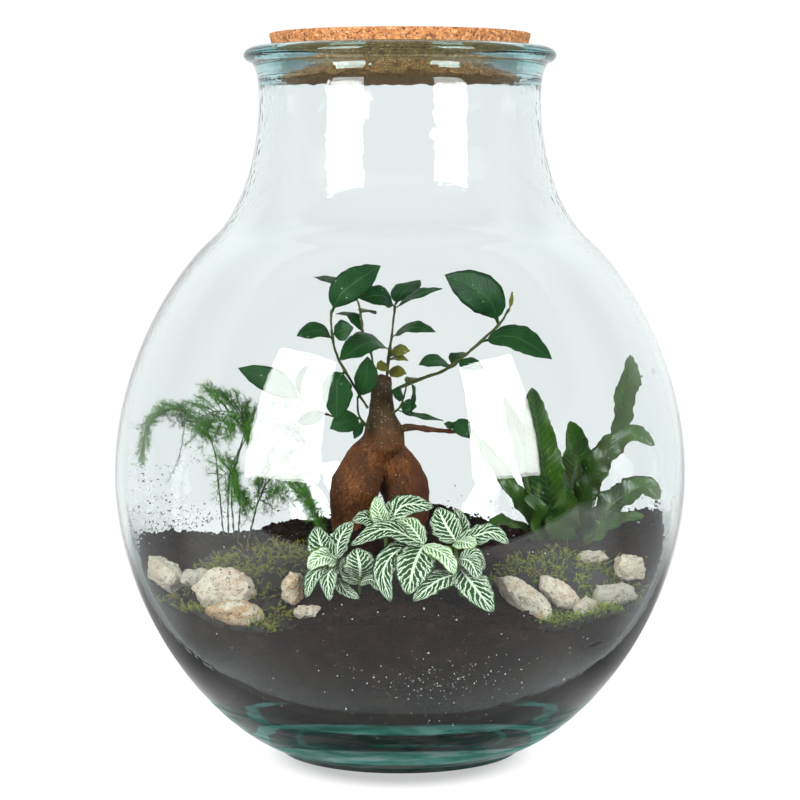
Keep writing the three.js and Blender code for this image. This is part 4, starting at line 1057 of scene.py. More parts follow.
def ficusOutline(t):
    # a bare stalk, then an oval with a drawn-out tip, as a share of the widest
    s = np.clip((t - ficusLeaf["stalkShare"]) / (1 - ficusLeaf["stalkShare"]), 0, 1)
    return np.sin(np.pi * s ** 0.88) ** 0.78 * (1 - 0.22 * blend(0.80, 0.97, s))


def nearestOn(line, point):
    # the number of the line's point that lies nearest to another point
    return np.argmin(np.linalg.norm(line - np.asarray(point, float), axis=1))


def addLeaves(mould, line, leaves, outline, look, number):
    # the leaves of one stem, each from the nearest point of its line; a stalk grows with its leaf's width
    perStem, perLeaf, cycle = look["seedSteps"]
    stalk, stalkGrows = look["stalk"]
    for index, (points, width, up, young) in enumerate(leaves):
        way = arched([line[nearestOn(line, points[0])], *points[1:]], up)
        seed = ((number * perStem + index * perLeaf) % cycle) / 20
        leaf(mould, way, width * look["wider"], up, outline, look, stalk + stalkGrows * width, look["wave"],
             look["waves"], seed, young)


def buildShoot(stem, radius, leaves, number):
    # a stem that tapers, a little swollen where its leaves begin
    mould = Mould()
    line = smoothLine(stem, 14 * len(stem))
    share = np.linspace(0, 1, len(line))
    knots = np.zeros(len(line))
    for points, *_ in leaves:
        at = nearestOn(line, points[0]) / (len(line) - 1)
        knots += 0.35 * np.exp(-((share - at) * len(stem) * 6) ** 2)
    radii = radius * (1.15 - 0.4 * share) * (1 + np.minimum(knots, 0.5))
    tube(mould, line, radii * 0.68, 10, stemMarks)
    addLeaves(mould, line, leaves, ficusOutline, ficusLeaf, number)
    return mould


def ficusRecipe(w):
    # two greens in patches, with a pale rib and side veins, paler undersides and young leaves, and pale dots
    u, v, tone, stem, young, under = w.leafMarks()
    place = w.place()
    across = abs(v)
    rib = across.step(0.07, 0.03)
    veins = abs((u * 13 - across * 3.0).part() - 0.5).step(0.10, 0.03)
    patch = w.noise(place, 90.0, 3.0)
    body = w.mix(patch.step(0.3, 0.7), ficusLeaf["deep"], ficusLeaf["green"])
    dots = w.dots(place, 300.0, (0.12, 0.07), (0.62, 0.66))
    body = w.layered(
        body, (tone * 0.35, ficusLeaf["fresh"]), (veins * 0.25, ficusLeaf["rib"]),
        (rib * 0.6, ficusLeaf["rib"]), (under * 0.7, ficusLeaf["under"]), (young * 0.8, ficusLeaf["young"]),
        (stem, w.mix(w.noise(place, 500.0, 3.0), ficusLeaf["stem"], ficusLeaf["woody"])),
        (dots * 0.8 * (1 - under), ficusLeaf["dot"]))
    height = patch * 0.4 - veins * 0.5 - rib * 0.8
    rough = 0.36 + 0.2 * under + 0.3 * stem
    return {"Base Color": body, "Roughness": rough, "Normal": w.bump(height, 0.35, 0.0006)}


ficusMaterial = makeMaterial("ficusLeaf", ficusRecipe, Specular_IOR_Level=0.12)
for number, (node, (stem, radius, leaves)) in enumerate(shoots.items()):
    addNode(node, buildShoot(stem, radius, leaves, number), ficusMaterial)
print("ficus shoots")


# Asparagus fern

plumes = {  # stem, the way the sprays spread, where the plume begins, spray length, pairs of sprays
    "asparagus_frond_far_left": ([(-105, 20, 112), (-107.5, 20, 147), (-112, 20, 178), (-120.5, 17, 191),
                                  (-133, 13, 198), (-145, 8, 195), (-151, 4, 182), (-153, 1, 166)],
                                 (0.3, -1, 0.35), 0.48, 18, 16),
    "asparagus_frond_high_left": ([(-103, 26, 112), (-102, 26, 158), (-95, 22, 175), (-91.5, 18, 187),
                                   (-96, 10, 195.5), (-107, -2, 198), (-119, -18, 195)],
                                  (0.1, -0.85, -0.5), 0.56, 24, 16),
    "asparagus_frond_back": ([(-100, 34, 112), (-101, 36, 153), (-94, 38, 176), (-83, 37, 189),
                              (-66, 33, 189), (-53, 29, 179)], (0.2, -0.8, -0.55), 0.56, 21, 12),
    "asparagus_frond_right": ([(-92, 16, 112), (-83, 12, 146), (-74, 8, 159), (-60, 3, 155), (-48, 2, 136)],
                              (0.3, -0.8, -0.5), 0.34, 27, 14),
    "asparagus_frond_low": ([(-96, 4, 112), (-94, -2, 142), (-94, -10, 156), (-99, -18, 164),
                             (-106, -26, 160)], (0.4, -0.6, -0.7), 0.42, 19, 10),
}
hangingTwigs = [  # points, seed
    ([(-127, 13, 192), (-128, 6, 181), (-131, 2, 168), (-136, 0, 158)], 4),
    ([(-118, 14, 191), (-121, 8, 183), (-126, 4, 178)], 5),
]
plume = {
    "branchletStep": 1.5, "branchlet": 6.5, "branchletRadius": 0.10,
    "needleStep": 0.85, "needle": 4.4, "needleRadius": 0.085, "twigNeedle": 3.4, "twigNeedleRadius": 0.09,
    "stemRadii": [0.62, 0.5, 0.42, 0.3, 0.16], "sprayRadii": [0.30, 0.22, 0.10],
    "twigRadii": [0.28, 0.2, 0.1], "seed": 12,
    "stem": (0.030, 0.055, 0.018), "stemLight": (0.05, 0.10, 0.03),
    "deep": (0.025, 0.120, 0.006), "bright": (0.135, 0.38, 0.018),
}


def toneMarks(kind, tone, shape):
    # marks of needles: their kind, nothing, and a tone for each row, repeated over the shape
    tones = np.broadcast_to(tone[:, None], shape).reshape(-1)
    return np.stack([np.full_like(tones, kind), np.zeros_like(tones), tones], -1)[:, None]


def needleTufts(mould, starts, ways, flatSide, rng, reach):
    # branchlets from start along way, each with needles on both sides that point forwards
    count = len(starts)
    length = reach * rng.uniform(0.6, 1.15, count)
    ends = starts + ways * length[:, None] + rng.normal(size=(count, 3)) * 0.5
    tone = rng.uniform(0, 1, count)
    spikes(mould, starts, ends, plume["branchletRadius"], toneMarks(0, tone, (count, 1)))
    steps = max(3, int(reach / plume["needleStep"]))
    share = np.linspace(0.12, 1.0, steps)[None, :, None]
    at = starts[:, None] + (ends - starts)[:, None] * share
    marks = toneMarks(1, tone, (count, steps))
    for turn in (-1, 1, 0.35, -0.35):
        lean = turn * flatSide[:, None] + 0.65 * ways[:, None] + 0.55 * rng.normal(size=(count, steps, 3))
        size = plume["needle"] * rng.uniform(0.6, 1.2, (count, steps, 1)) * (1.15 - 0.5 * share)
        tips = at + unit(lean) * size
        spikes(mould, at, tips, plume["needleRadius"], marks)


def buildPlume(points, across, begin, spread, pairs, seed):
    # a beaded stem with sprays to both sides, which droop with the square of their length
    rng = np.random.default_rng(plume["seed"] + seed)
    mould = Mould()
    line = smoothLine(points, 120)
    beads = 1 + 0.25 * np.cos(np.linspace(0, 1, len(line)) * len(line) * 0.9)
    tube(mould, line, np.interp(np.linspace(0, 4, len(line)), range(5), plume["stemRadii"]) * beads, 6)
    ways = tangents(line)
    across = unit(np.asarray(across, float))
    for pair in range(pairs):
        share = (pair + 0.5) / pairs
        length = spread * (0.45 + 0.75 * math.sin(math.pi * min(1, 0.2 + share * 0.75)))
        for sign in (-1, 1):
            t = begin + (0.96 - begin) * (share + 0.03 * sign) + rng.uniform(-0.01, 0.01)
            index = int(np.clip(t, 0, 1) * (len(line) - 1))
            out = unit(sign * across + 0.7 * ways[index] + 0.12 * rng.normal(size=3))
            s = np.linspace(0, 1, 9)[:, None]
            reach = length * rng.uniform(0.75, 1.05)
            spray = line[index] + out * reach * s + np.array([0, 0, -1.0]) * 0.24 * reach * s ** 2
            tube(mould, spray, plume["sprayRadii"], 4)
            steps = max(3, int(reach / plume["branchletStep"]))
            places = np.linspace(0.15, 0.98, steps)
            starts = np.stack([np.interp(places, s[:, 0], spray[:, i]) for i in range(3)], 1)
            side = unit(ways[index] - out * np.dot(out, ways[index]))
            both = alternating(steps)[:, None]
            lean = unit(both * side + 0.8 * out + 0.55 * rng.normal(size=(steps, 3)))
            flatSide = unit(np.cross(lean, np.cross(out, side)))
            taper = (1.1 - 0.6 * share) * (1.0 - 0.3 * abs(0.5 - share))
            needleTufts(mould, starts, lean, flatSide, rng, plume["branchlet"] * taper)
    return mould


def hangingTwig(mould, points, seed):
    # a thin drooping branchlet with sparse needles
    rng = np.random.default_rng(seed)
    line = smoothLine(points, 30)
    tube(mould, line, plume["twigRadii"], 4)
    starts = np.repeat(line[4:], 5, axis=0)
    ways = np.repeat(tangents(line)[4:], 5, axis=0)
    ends = starts + unit(ways + 1.1 * rng.normal(size=starts.shape)) * plume["twigNeedle"]
    marks = np.broadcast_to((1, 0, 0.3), (len(starts), 1, 3))
    spikes(mould, starts, ends, plume["twigNeedleRadius"], marks)


def plumeRecipe(w):
    needle, _, tone = w.marks()
    body = w.mix(tone, plume["deep"], plume["bright"])
    stem = w.mix(tone * 0.5, plume["stem"], plume["stemLight"])
    return {"Base Color": w.mix(needle, stem, body)}


plumeMaterial = makeMaterial("asparagusNeedles", plumeRecipe, Roughness=0.55)
for number, (node, (points, across, begin, spread, pairs)) in enumerate(plumes.items()):
    mould = buildPlume(points, across, begin, spread, pairs, number)
    if node == "asparagus_frond_far_left":
        for twig, seed in hangingTwigs:
            hangingTwig(mould, twig, seed)
    addNode(node, mould, plumeMaterial)
print("asparagus fern")


# Nest fern

straps = {  # points from foot to tip, width, the side it shows, waves, height of the waves
    "nest_fern_front_tall": ([(93, 13, 112), (90, 7, 138), (84, 3, 170), (77, 1, 212)],
                             26, (-0.2, -1, 0.1), 2.5, 1.0),
    "nest_fern_back": ([(97, 24, 112), (102, 30, 142), (107, 36, 172), (102, 33, 189)],
                       25, (0, -1, 0.2), 2, 1.0),
    "nest_fern_right_arched": ([(104, 18, 114), (110, 16, 146), (122, 10, 172), (138, 4, 185), (150, 2, 178)],
                               20, (-0.35, -0.9, 0.4), 4, 1.5),
    "nest_fern_right_high": ([(103, 25, 114), (119, 38, 150), (132, 42, 184), (136, 34, 210), (138, 28, 230)],
                             16, (0.5, -0.8, 0.1), 3, 1.1),
    "nest_fern_right_broad": ([(104, 10, 114), (116, -2, 134), (130, -10, 149), (143, -15, 156),
                               (151, -16, 149)], 24, (-0.5, -0.75, 0.6), 3, 1.5),
    "nest_fern_right_low": ([(102, 4, 108), (114, -13, 127), (128, -24, 138), (140, -31, 141)],
                            16, (-0.3, -0.6, 0.7), 3, 1.2),
    "nest_fern_left_arched": ([(87, 17, 112), (76, 13, 136), (60, 8, 160), (42, 6, 186)],
                              13, (0.3, -0.9, 0.3), 3, 1.2),
    "nest_fern_front_curled": ([(88, 9, 114), (82, -3, 132), (80, -9, 144), (72, -12, 149)],
                               16, (0.2, -0.9, 0.4), 2, 1.0),
    "nest_fern_front_broad": ([(95, 6, 112), (95, -3, 130), (97, -10, 146), (96, -12, 154)],
                              24, (0, -1, 0.2), 2, 1.0),
    "nest_fern_left_low": ([(86, 11, 114), (70, 0, 130), (58, -8, 134), (44, -16, 127)],
                           14, (0.1, -0.5, 0.9), 2, 1.0),
    "nest_fern_back_left": ([(90, 24, 112), (82, 32, 146), (72, 36, 178), (62, 34, 204)],
                            16, (0.1, -1, 0.1), 3, 1.2),
}
nestFern = {
    "rows": 54, "cols": 13, "thickness": 0.6, "fold": 0.25, "foldVaries": 0.0, "curl": 0.0, "quilt": 0.30,
    "ragged": 0.24, "stalk": 1.5, "livelier": 1.6,
    "deep": (0.008, 0.030, 0.006), "green": (0.032, 0.088, 0.007), "fresh": (0.050, 0.12, 0.012),
    "light": (0.14, 0.25, 0.045), "stain": (0.055, 0.050, 0.010), "rib": (0.05, 0.07, 0.02),
    "brown": (0.10, 0.055, 0.02), "dot": (0.75, 0.78, 0.74),
}


def strapOutline(t):
    # widens quickly from its foot and rounds off to its tip
    return np.minimum(1, 0.22 + 1.5 * t) * np.sin(np.pi * np.minimum(1, 0.42 + 0.58 * t)) ** 0.5


def crinkledOutline(t):
    # narrow for half its length, then broad, with a drawn-out tip
    return (0.30 + 0.80 * blend(0.52, 0.74, t)) * (1 - blend(0.88, 1.02, t)) ** 0.6


def nestFernRecipe(w):
    # two greens in patches, stained and lightened along the strap, with close side veins and a brown edge
    u, v, tone, _, _, under = w.leafMarks()
    place = w.place()
    across = abs(v)
    rib = across.step(0.10, 0.03)
    veins = abs((u * 26 - across * 2.2).part() - 0.5).step(0.22, 0.05)
    patch = w.noise(w.stretched(place, (1, 1, 0.5)), 60.0, 3.0)
    body = w.mix(patch.step(0.35, 0.65), nestFern["deep"], nestFern["green"])
    stain = w.noise(w.stretched(place, (1, 1, 0.35)), 130.0, 3.0, 0.65)
    edge = (across + 0.25 * w.noise(place, 200.0, 2.0)).step(1.06, 1.16)
    body = w.layered(
        body, (tone * 0.45, nestFern["fresh"]), (stain.step(0.52, 0.68) * 0.55, nestFern["stain"]),
        (stain.step(0.42, 0.30) * 0.35, nestFern["light"]), (veins * 0.11, nestFern["light"]),
        (rib * 0.35, nestFern["rib"]), (under * 0.25, nestFern["light"]), (edge * 0.7, nestFern["brown"]),
        (w.dots(place, 260.0, (0.10, 0.06), (0.7, 0.74)) * 0.7, nestFern["dot"]))
    height = patch * 0.6 - veins * 0.3 - rib
    return {"Base Color": body, "Normal": w.bump(height, 0.4, 0.0008)}


nestFernMaterial = makeMaterial("nestFernStrap", nestFernRecipe, Roughness=0.26, Specular_IOR_Level=0.42)
for number, (node, (points, width, up, waves, wave)) in enumerate(straps.items()):
    mould = Mould()
    outline = crinkledOutline if node == "nest_fern_right_high" else strapOutline
    leaf(mould, points, width, up, outline, nestFern, nestFern["stalk"], nestFern["livelier"] * wave,
         nestFern["livelier"] * waves, (number * 3 % 11) / 11.5)
    addNode(node, mould, nestFernMaterial)
print("nest fern")


# Fittonia

# stem, then leaves: points from stalk to tip, width, the side it shows, and 1 for a young one
fittoniaStems = {
    "fittonia_stem_centre": ([(4, -79, 101), (8, -84, 117), (13, -88, 133)], [
        ([(13, -88, 133), (6, -88, 143), (-1, -84, 147)], 12, (0.2, -0.8, 0.6), 1),
        ([(12, -90, 133), (-8, -98, 143), (-27, -104, 135)], 11, (0, -0.7, 0.7), 0),
        ([(15, -90, 133), (24, -98, 129), (30, -104, 119)], 11, (0.4, -0.7, 0.5), 1),
        ([(14, -90, 132), (8, -104, 125), (4, -116, 110)], 18, (0, -0.9, 0.4), 0),
        ([(12, -88, 130), (-1, -95, 131), (-9, -105, 121), (-5, -117, 106)], 11, (-0.1, -0.9, 0.4), 0)]),
    "fittonia_stem_back": ([(-8, -61, 100), (-8, -63, 124), (-8, -66, 140)], [
        ([(-8, -66, 140), (-12, -68, 149), (-13, -66, 157)], 9, facing, 1),
        ([(-7, -66, 141), (2, -62, 151), (19, -56, 150)], 12, (0, -0.8, 0.6), 0),
        ([(-6, -64, 141), (-3, -58, 154)], 10, facing, 0),
        ([(-8, -65, 138), (-19, -67, 145), (-27, -68, 143)], 10, (0, -0.7, 0.7), 0)]),
    "fittonia_stem_right": ([(31, -70, 96), (31, -73, 118), (31, -76, 133)], [
        ([(30, -77, 132), (25, -75, 143), (21, -68, 151)], 15, facing, 0),
        ([(31, -75, 133), (34, -70, 142), (31, -65, 150)], 9, facing, 0),
        ([(32, -77, 133), (42, -80, 137), (51, -82, 139), (60, -84, 133)], 11, (0, -0.8, 0.6), 0),
        ([(31, -78, 132), (36, -85, 134), (42, -91, 133)], 11, (0.1, -0.8, 0.6), 1)]),
    "fittonia_stem_low_right": ([(34, -84, 92), (34, -88, 110), (32, -91, 126)], [
        ([(32, -91, 126), (38, -97, 125), (43, -103, 116)], 10, (0.3, -0.8, 0.5), 0),
        ([(33, -90, 124), (41, -92, 128), (46, -95, 120)], 8, (0.4, -0.8, 0.4), 0),
        ([(32, -92, 119), (40, -108, 113), (50, -118, 101)], 16, (0.2, -0.9, 0.4), 0),
        ([(32, -92, 117), (20, -108, 116), (7, -119, 107)], 13, (-0.2, -0.8, 0.6), 0)]),
    "fittonia_stem_left": ([(-34, -78, 96), (-34, -82, 111), (-35, -86, 125)], [
        ([(-35, -86, 125), (-43, -85, 132), (-46, -78, 142)], 14, facing, 0),
        ([(-35, -86, 125), (-33, -83, 136), (-26, -79, 145)], 11, (-0.3, -0.8, 0.5), 0),
        ([(-35, -86, 124), (-43, -93, 127), (-50, -98, 121)], 11, (-0.1, -0.8, 0.6), 1),
        ([(-35, -86, 121), (-46, -98, 119), (-51, -104, 106)], 9, (-0.4, -0.8, 0.4), 0),
        ([(-35, -86, 120), (-39, -100, 118), (-38, -107, 105)], 9, (-0.1, -0.9, 0.4), 0),
        ([(-34, -83, 113), (-30, -95, 109), (-22, -101, 105)], 7, (0.1, -0.8, 0.6), 0)]),
    "fittonia_stem_inner_left": ([(-22, -84, 94), (-22, -88, 105), (-22, -91, 116)], [
        ([(-22, -91, 115), (-22, -95, 123), (-24, -91, 132)], 16, (0, -1, 0.2), 0),
        ([(-22, -90, 112), (-15, -99, 115), (-11, -104, 110)], 7, (0.1, -0.8, 0.6), 0),
        ([(-22, -90, 112), (-29, -90, 118), (-31, -87, 126)], 8, (0.3, -0.9, 0.3), 0)]),
}
fittonia = {
    "rows": 32, "cols": 13, "thickness": 0.55, "fold": 0.16, "foldVaries": 0.0, "curl": 0.14, "quilt": 0.34,
    "ragged": 0.22, "stalk": (0.6, 0.0), "wave": 0.5, "waves": 3, "wider": 1.22, "seedSteps": (5, 7, 19),
    "stemRadii": [1.5, 1.2, 0.9],
    "sideVeins": 9.0, "forward": 2.7,
    "green": (0.005, 0.026, 0.005), "mid": (0.020, 0.080, 0.012), "mint": (0.86, 0.92, 0.70),
    "youngGreen": (0.10, 0.24, 0.030), "youngEdge": (0.20, 0.34, 0.030), "stem": (0.14, 0.22, 0.06),
}


def fittoniaOutline(t):
    # a pointed oval
    return np.sin(np.pi * t ** 0.80) ** 0.68


def buildFittonia(stem, leaves, number):
    mould = Mould()
    line = smoothLine(stem, 24)
    tube(mould, line, fittonia["stemRadii"], 9, stemMarks)
    addLeaves(mould, line, leaves, fittoniaOutline, fittonia, number)
    return mould


def fittoniaRecipe(w):
    # pale veins in the leaf's own marks: a midrib, and side veins that run forwards and fork twice
    u, v, tone, stem, young, _ = w.leafMarks()
    warp = w.noise(w.joinXyz(u * 1.0, v * 0.4, tone * 7), 11.0, 2.0) - 0.5
    across = abs(v)
    spacing = u * fittonia["sideVeins"] - across * fittonia["forward"]
    run = (spacing + warp * 0.9 + v.step(-0.01, 0.01) * 0.5).part()
    first = abs(abs(run - 0.5) - 0.45 * (across + warp * 0.3 - 0.30).most(0.0))
    second = abs(first - 0.42 * (across + warp * 0.3 - 0.64).most(0.0))
    wide = 0.122 - across * 0.060 + young * 0.11
    side = (second - wide).step(0.035, -0.035)
    inside = (across + warp * 0.45).step(0.93, 0.82)
    rib = across.step(0.11, 0.05) * u.step(0.98, 0.90)
    veins = rib.most(side * inside * u.step(0.985, 0.95))
    body = w.mix(w.noise(w.place(), 300.0, 2.0), fittonia["green"], fittonia["mid"])
    youngest = w.mix(across.step(0.72, 0.92), fittonia["youngGreen"], fittonia["youngEdge"])
    body = w.layered(body, (young * 0.9, youngest), (veins * (0.86 + 0.14 * tone), fittonia["mint"]),
                     (stem, fittonia["stem"]))
    return {"Base Color": body, "Normal": w.bump(veins * -1.0, 0.5, 0.0005)}


fittoniaMaterial = makeMaterial("fittoniaLeaf", fittoniaRecipe, Roughness=0.5, Specular_IOR_Level=0.3)
for number, (node, (stem, leaves)) in enumerate(fittoniaStems.items()):
    addNode(node, buildFittonia(stem, leaves, number), fittoniaMaterial)
print("fittonia")


# Stones

stoneLook = {  # how ochre each stone is, and how grey
    "stone_left_long": (0.15, 0.0), "stone_left_grey": (0.0, 0.5), "stone_left_pointed": (0.3, 0.1),
    "stone_left_ochre": (0.85, 0.0), "stone_left_small": (0.6, 0.0), "stone_left_buried": (0.2, 0.2),
    "stone_right_long": (0.25, 0.15), "stone_right_oval": (0.35, 0.0), "stone_right_wedge": (0.3, 0.1),
    "stone_right_grey": (0.1, 0.6), "stone_right_tall": (0.3, 0.0), "stone_right_back": (0.2, 0.3),
    "stone_right_low": (0.4, 0.1),
}
stone = {
    "rows": 54, "cols": 80, "sharp": 120, "rough": 0.95, "pits": 0.9, "grit": 0.70, "split": 1.6,
    "pale": (0.58, 0.44, 0.34), "light": (0.76, 0.62, 0.49), "tan": (0.66, 0.42, 0.30),
    "rust": (0.48, 0.23, 0.075), "grey": (0.34, 0.31, 0.28), "fleck": (0.80, 0.74, 0.68),
    "brown": (0.30, 0.19, 0.13), "crack": (0.14, 0.09, 0.06), "black": (0.03, 0.02, 0.015),
}


def buildStone(node, number):
    # the planes of the plain block, met by rays from its middle; a high power mean rounds the edges a little
    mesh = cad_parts[node].data
    normals, centres = readBack(mesh.polygons, "normal"), readBack(mesh.polygons, "center") * 1000
    middle = centres.mean(0)
    away = np.maximum(np.sum(normals * (centres - middle), axis=1), 1.0)
    polar = np.linspace(0, np.pi, stone["rows"] + 2)[1:-1, None]
    angle = circle(stone["cols"])[None]

    def surface(rays):
        pull = np.maximum(np.einsum("...i,ni->...n", rays, normals), 0) / away
        reach = np.sum(pull ** stone["sharp"], axis=-1) ** (-1 / stone["sharp"])
        points = rays * reach[..., None] + middle
        lumps = 0.8 * cloud(points, 5, 50 + number, 4) - 1.2 * np.abs(cloud(points, 8, 80 + number, 2))
        pits = blend(0.35, 0.75, cloud(points, 2.6, 90 + number, 2))
        grit = cloud(points, 1.7, 70 + number, 2) + 0.6 * np.abs(cloud(points, 3.2, 30 + number, 2))
        split = np.abs(cloud(points, 17, 40 + number, 2))
        reach = stone["rough"] * lumps - stone["pits"] * pits + stone["grit"] * grit - stone["split"] * split
        return points + rays * reach[..., None]

    mould = Mould()
    poles = surface(np.array([[0, 0, -1.0], [0, 0, 1.0]]))
    rings = surface(turned(np.sin(polar), angle, -np.cos(polar)))
    mould.skin(rings, poles[0], poles[1], np.broadcast_to((*stoneLook[node], number / 13), rings.shape))
    return mould


def stoneRecipe(w):
    # three pale browns in broad patches, with rust, grey, flecks, cracks and black pits
    ochre, grey, _ = w.marks()
    place = w.place()
    broad, fine = w.noise(place, 55.0, 4.0, 0.6), w.noise(place, 330.0, 5.0, 0.7)
    body = broad.ramp((0.25, stone["pale"]), (0.5, stone["light"]), (0.75, stone["tan"]))
    rust = (w.noise(w.stretched(place, (1, 1, 1.6)), 95.0, 4.0, 0.65) + ochre * 0.28).step(0.60, 0.80)
    black = w.dots(place, 520.0, (0.24, 0.12), (0.56, 0.68), channel=1, more=broad * 0.5)
    cracks = w.noise(place, 190.0, 5.0, 0.75).step(0.36, 0.30)
    body = w.layered(
        body, (rust * 0.75, stone["rust"]), (grey * 0.8, stone["grey"]),
        (fine.step(0.56, 0.68) * 0.6, stone["fleck"]), (fine.step(0.46, 0.36) * 0.6, stone["brown"]),
        (cracks * 0.6, stone["crack"]), (black * 0.85, stone["black"]))
    height = fine * 0.8 + broad - cracks * 0.8 - black
    return {"Base Color": body, "Normal": w.bump(height, 1.0, 0.0016)}


stoneMaterial = makeMaterial("roughStone", stoneRecipe, Roughness=0.9)
for number, node in enumerate(stoneLook):
    addNode(node, buildStone(node, number), stoneMaterial, smooth=False)
print("stones")


# Moss

mossMats = {  # each mat's cushions: place, half lengths, turn, height, seed of its lobes
    "moss_mat_left": [((-80, -42), (44, 26), -8, 9, 31), ((-97, -90), (46, 33), -34, 7, 33)],
    "moss_mat_right": [((92, -54), (46, 25), 14, 10, 35), ((106, -92), (42, 30), 36, 7, 37)],
}
moss = {
    "rings": 26, "sides": 96, "strands": 2200, "leaflets": 14, "strandLength": 6.4, "strandRadius": 0.13,
    "leafletRadius": 0.21,
    "olive": (0.050, 0.050, 0.008), "bright": (0.42, 0.42, 0.035), "fresh": (0.42, 0.48, 0.030),
    "red": (0.26, 0.080, 0.020), "base": (0.009, 0.006, 0.004), "baseLight": (0.030, 0.017, 0.012),
}


def seededRandom(seed, count):
    # the plain part's repeatable numbers from 0 to 1
    values, state, full = [], seed, 0xFFFFFFFF
    for _ in range(count):
        state = (state + 0x6D2B79F5) & full
        t = ((state ^ (state >> 15)) * (1 | state)) & full
        t = ((t + (((t ^ (t >> 7)) * (61 | t)) & full)) & full) ^ t
        values.append(((t ^ (t >> 14)) & full) / 4294967296)
    return np.array(values)


stoneBoxes = [np.array(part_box(node)) * 1000 for node in stoneLook]


def outsideStones(points):
    # true for points outside every stone's ellipsoid, drawn out to the front so that its face stays bare
    free = np.ones(points.shape[:-1], bool)
    for low, high in stoneBoxes:
        low = low - [0, 9, 0]
        q = (points - (low + high) / 2) / ((high - low) / 2 * 0.95)
        free &= np.sum(q * q, axis=-1) > 1
    return free


def besideStones(x, y):
    # from 0 away from the stones to 1 on the ground that one covers
    near = np.zeros(np.shape(x))
    for low, high in stoneBoxes:
        middle, half = (low + high) / 2, (high - low) / 2
        q = ((x - middle[0]) / (half[0] + 2)) ** 2 + ((y - middle[1] + 3) / (half[1] + 4)) ** 2
        near = np.maximum(near, blend(1.7, 0.8, q))
    return near


def cushion(at, reach, turn, height, seed):
    # a function that gives points of the cushion's top from shares of the way out and angles
    lobes = 0.84 + 0.3 * seededRandom(seed, 12)
    spin = math.radians(turn)

    def top(share, angle, sink=0.0):
        lobe = np.interp(angle % (2 * np.pi), np.linspace(0, 2 * np.pi, 13), np.append(lobes, lobes[0]))
        u, v = reach[0] * share * lobe * np.cos(angle), reach[1] * share * lobe * np.sin(angle)
        x = at[0] + u * math.cos(spin) - v * math.sin(spin)
        y = at[1] + u * math.sin(spin) + v * math.cos(spin)
        p = np.stack([x, y, np.zeros_like(x)], -1)
        tuft = 0.75 + 0.75 * cloud(p, 11, seed, 3)
        tuft = np.clip(tuft, 0.15, 1.5) * (1 - 0.95 * besideStones(x, y))
        z = soilHeight(x, y) + height * np.sqrt(1 - (share * 0.97) ** 2) * tuft - sink
        r = np.maximum(np.hypot(x, y), 1)
        pull = np.minimum(1, (innerRadius(z) - 1.6 - 0.35 * sink) / r)
        return np.stack([x * pull, y * pull, z], -1)

    return top


def mossCushion(mould, top, seed):
    # rings of the cushion's top down to its sunk edge
    angle = circle(moss["sides"])[None]
    share = np.linspace(0, 1, moss["rings"] + 1)[1:, None]
    rings = top(share * np.ones_like(angle), angle * np.ones_like(share))
    rings[..., 2] += 0.7 * cloud(rings, 2.2, seed, 2)
    under = top(np.full_like(angle, 0.98), angle, 9.0)
    crown = top(np.zeros((1, 1)), np.zeros((1, 1)))[0, 0]
    mould.skin(np.concatenate([rings, under])[::-1], crown - [0, 0, 14], crown)


def strandHandles(top, at, seed, count, rng):
    # start, middle and end of strands that rise in clumps and lean outwards, clear of glass and stones
    share, angle = np.sqrt(rng.uniform(0, 1, count)) * 1.04, anyAngle(count, rng)
    start = top(np.minimum(share, 1), angle)
    keep = cloud(start * [1, 1, 0], 9, seed, 2) > -0.30 + 0.5 * blend(0.7, 1.0, share)
    # the ground at the back of the left mat stays bare
    keep &= (start[:, 0] > -74) | (start[:, 1] < -34)
    start = start[keep] - [0, 0, 0.5]
    outward = unit(start - np.array([at[0], at[1], start[:, 2].mean() - 30]))
    way = unit(outward * 0.8 + np.array([0, -0.25, 0.6]) + 0.65 * rng.normal(size=start.shape))
    length = moss["strandLength"] * rng.uniform(0.5, 1.35, (len(start), 1))
    middle = start + way * length * 0.6 + np.array([0, 0, 0.12]) * length
    bent = unit(way * [1, 1, -0.25] + 0.8 * rng.normal(size=start.shape))
    end = middle + bent * length * 0.55
    keep = (np.hypot(end[:, 0], end[:, 1]) < innerRadius(end[:, 2]) - 0.8) & (end[:, 2] > start[:, 2] - 4)
    keep &= outsideStones(start) & outsideStones(middle) & outsideStones(end)
    return start[keep, None], middle[keep, None], end[keep, None]


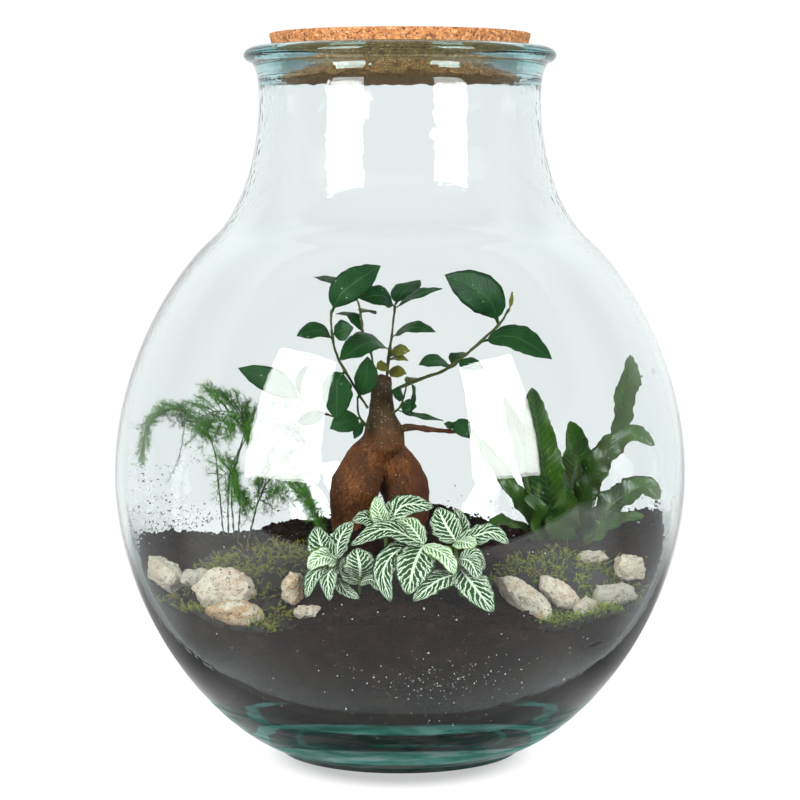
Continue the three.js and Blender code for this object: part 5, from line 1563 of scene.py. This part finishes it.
def addStrands(mould, start, middle, end, rng):
    # each strand is a bent chain of four spikes with leaflets to both sides
    count = len(start)
    tone = rng.uniform(0, 1, count)

    def along(share):
        # points of each strand's quadratic curve
        return (1 - share) ** 2 * start + 2 * share * (1 - share) * middle + share ** 2 * end

    def strandMarks(share):
        # a strand, how far along it, and its own tone
        marks = np.broadcast_arrays(1.0, share[..., 0], tone[:, None])
        return np.stack(marks, -1).reshape(-1, 1, 3)

    steps = np.linspace(0, 1, 5)[None, :, None]
    points = along(steps)
    reached = points[:, 1:] * 1.12 - points[:, :-1] * 0.12
    spikes(mould, points[:, :-1], reached, moss["strandRadius"], strandMarks(steps[:, 1:]))
    share = np.linspace(0.12, 1.0, moss["leaflets"])[None, :, None]
    root = along(share)
    run = unit(end - start)
    side = unit(np.cross(run, rng.normal(size=run.shape)))
    turn = alternating(moss["leaflets"])[None, :, None]
    lean = unit(0.75 * run + turn * side + 0.35 * rng.normal(size=root.shape))
    tips = root + lean * rng.uniform(0.8, 1.8, (*root.shape[:2], 1)) * (1.15 - 0.6 * share)
    spikes(mould, root, tips, moss["leafletRadius"], strandMarks(share))


def buildMoss(cushions, seed):
    rng = np.random.default_rng(seed)
    mould = Mould()
    for at, reach, turn, height, lobeSeed in cushions:
        top = cushion(at, reach, turn, height, lobeSeed)
        mossCushion(mould, top, lobeSeed + 3)
        handles = strandHandles(top, at, lobeSeed + 5, moss["strands"] // len(cushions), rng)
        addStrands(mould, *handles, rng)
    return mould


def mossRecipe(w):
    # marks: whether it is a strand, how far along it, and the strand's own tone
    strand, far, tone = w.marks()
    place = w.place()
    patch = w.noise(place, 55.0, 3.0)
    tip = w.mix(w.split(place)[0].step(0.00, 0.05), moss["bright"], moss["fresh"])
    body = w.mix((far * 0.55 + patch * 0.55 + tone * 0.30).step(0.40, 1.05), moss["olive"], tip)
    red = w.noise(place, 110.0, 2.0).step(0.53, 0.64) * (1.0 - far * 0.5)
    body = w.mix(red * 0.6, body, moss["red"])
    ground = w.mix(w.noise(place, 600.0, 3.0).step(0.4, 0.7), moss["base"], moss["baseLight"])
    rough = w.bump(w.noise(place, 800.0, 3.0), 0.6, 0.0008)
    return {"Base Color": w.mix(strand, ground, body), "Normal": rough}


mossMaterial = makeMaterial("featherMoss", mossRecipe, Roughness=0.8)
for number, (node, cushions) in enumerate(mossMats.items()):
    addNode(node, buildMoss(cushions, 60 + number), mossMaterial)
print("moss")

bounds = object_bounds()
asLists = lambda box: [list(map(float, corner)) for corner in box]
{"cad": asLists(cadBox), "visual": asLists(bounds)}
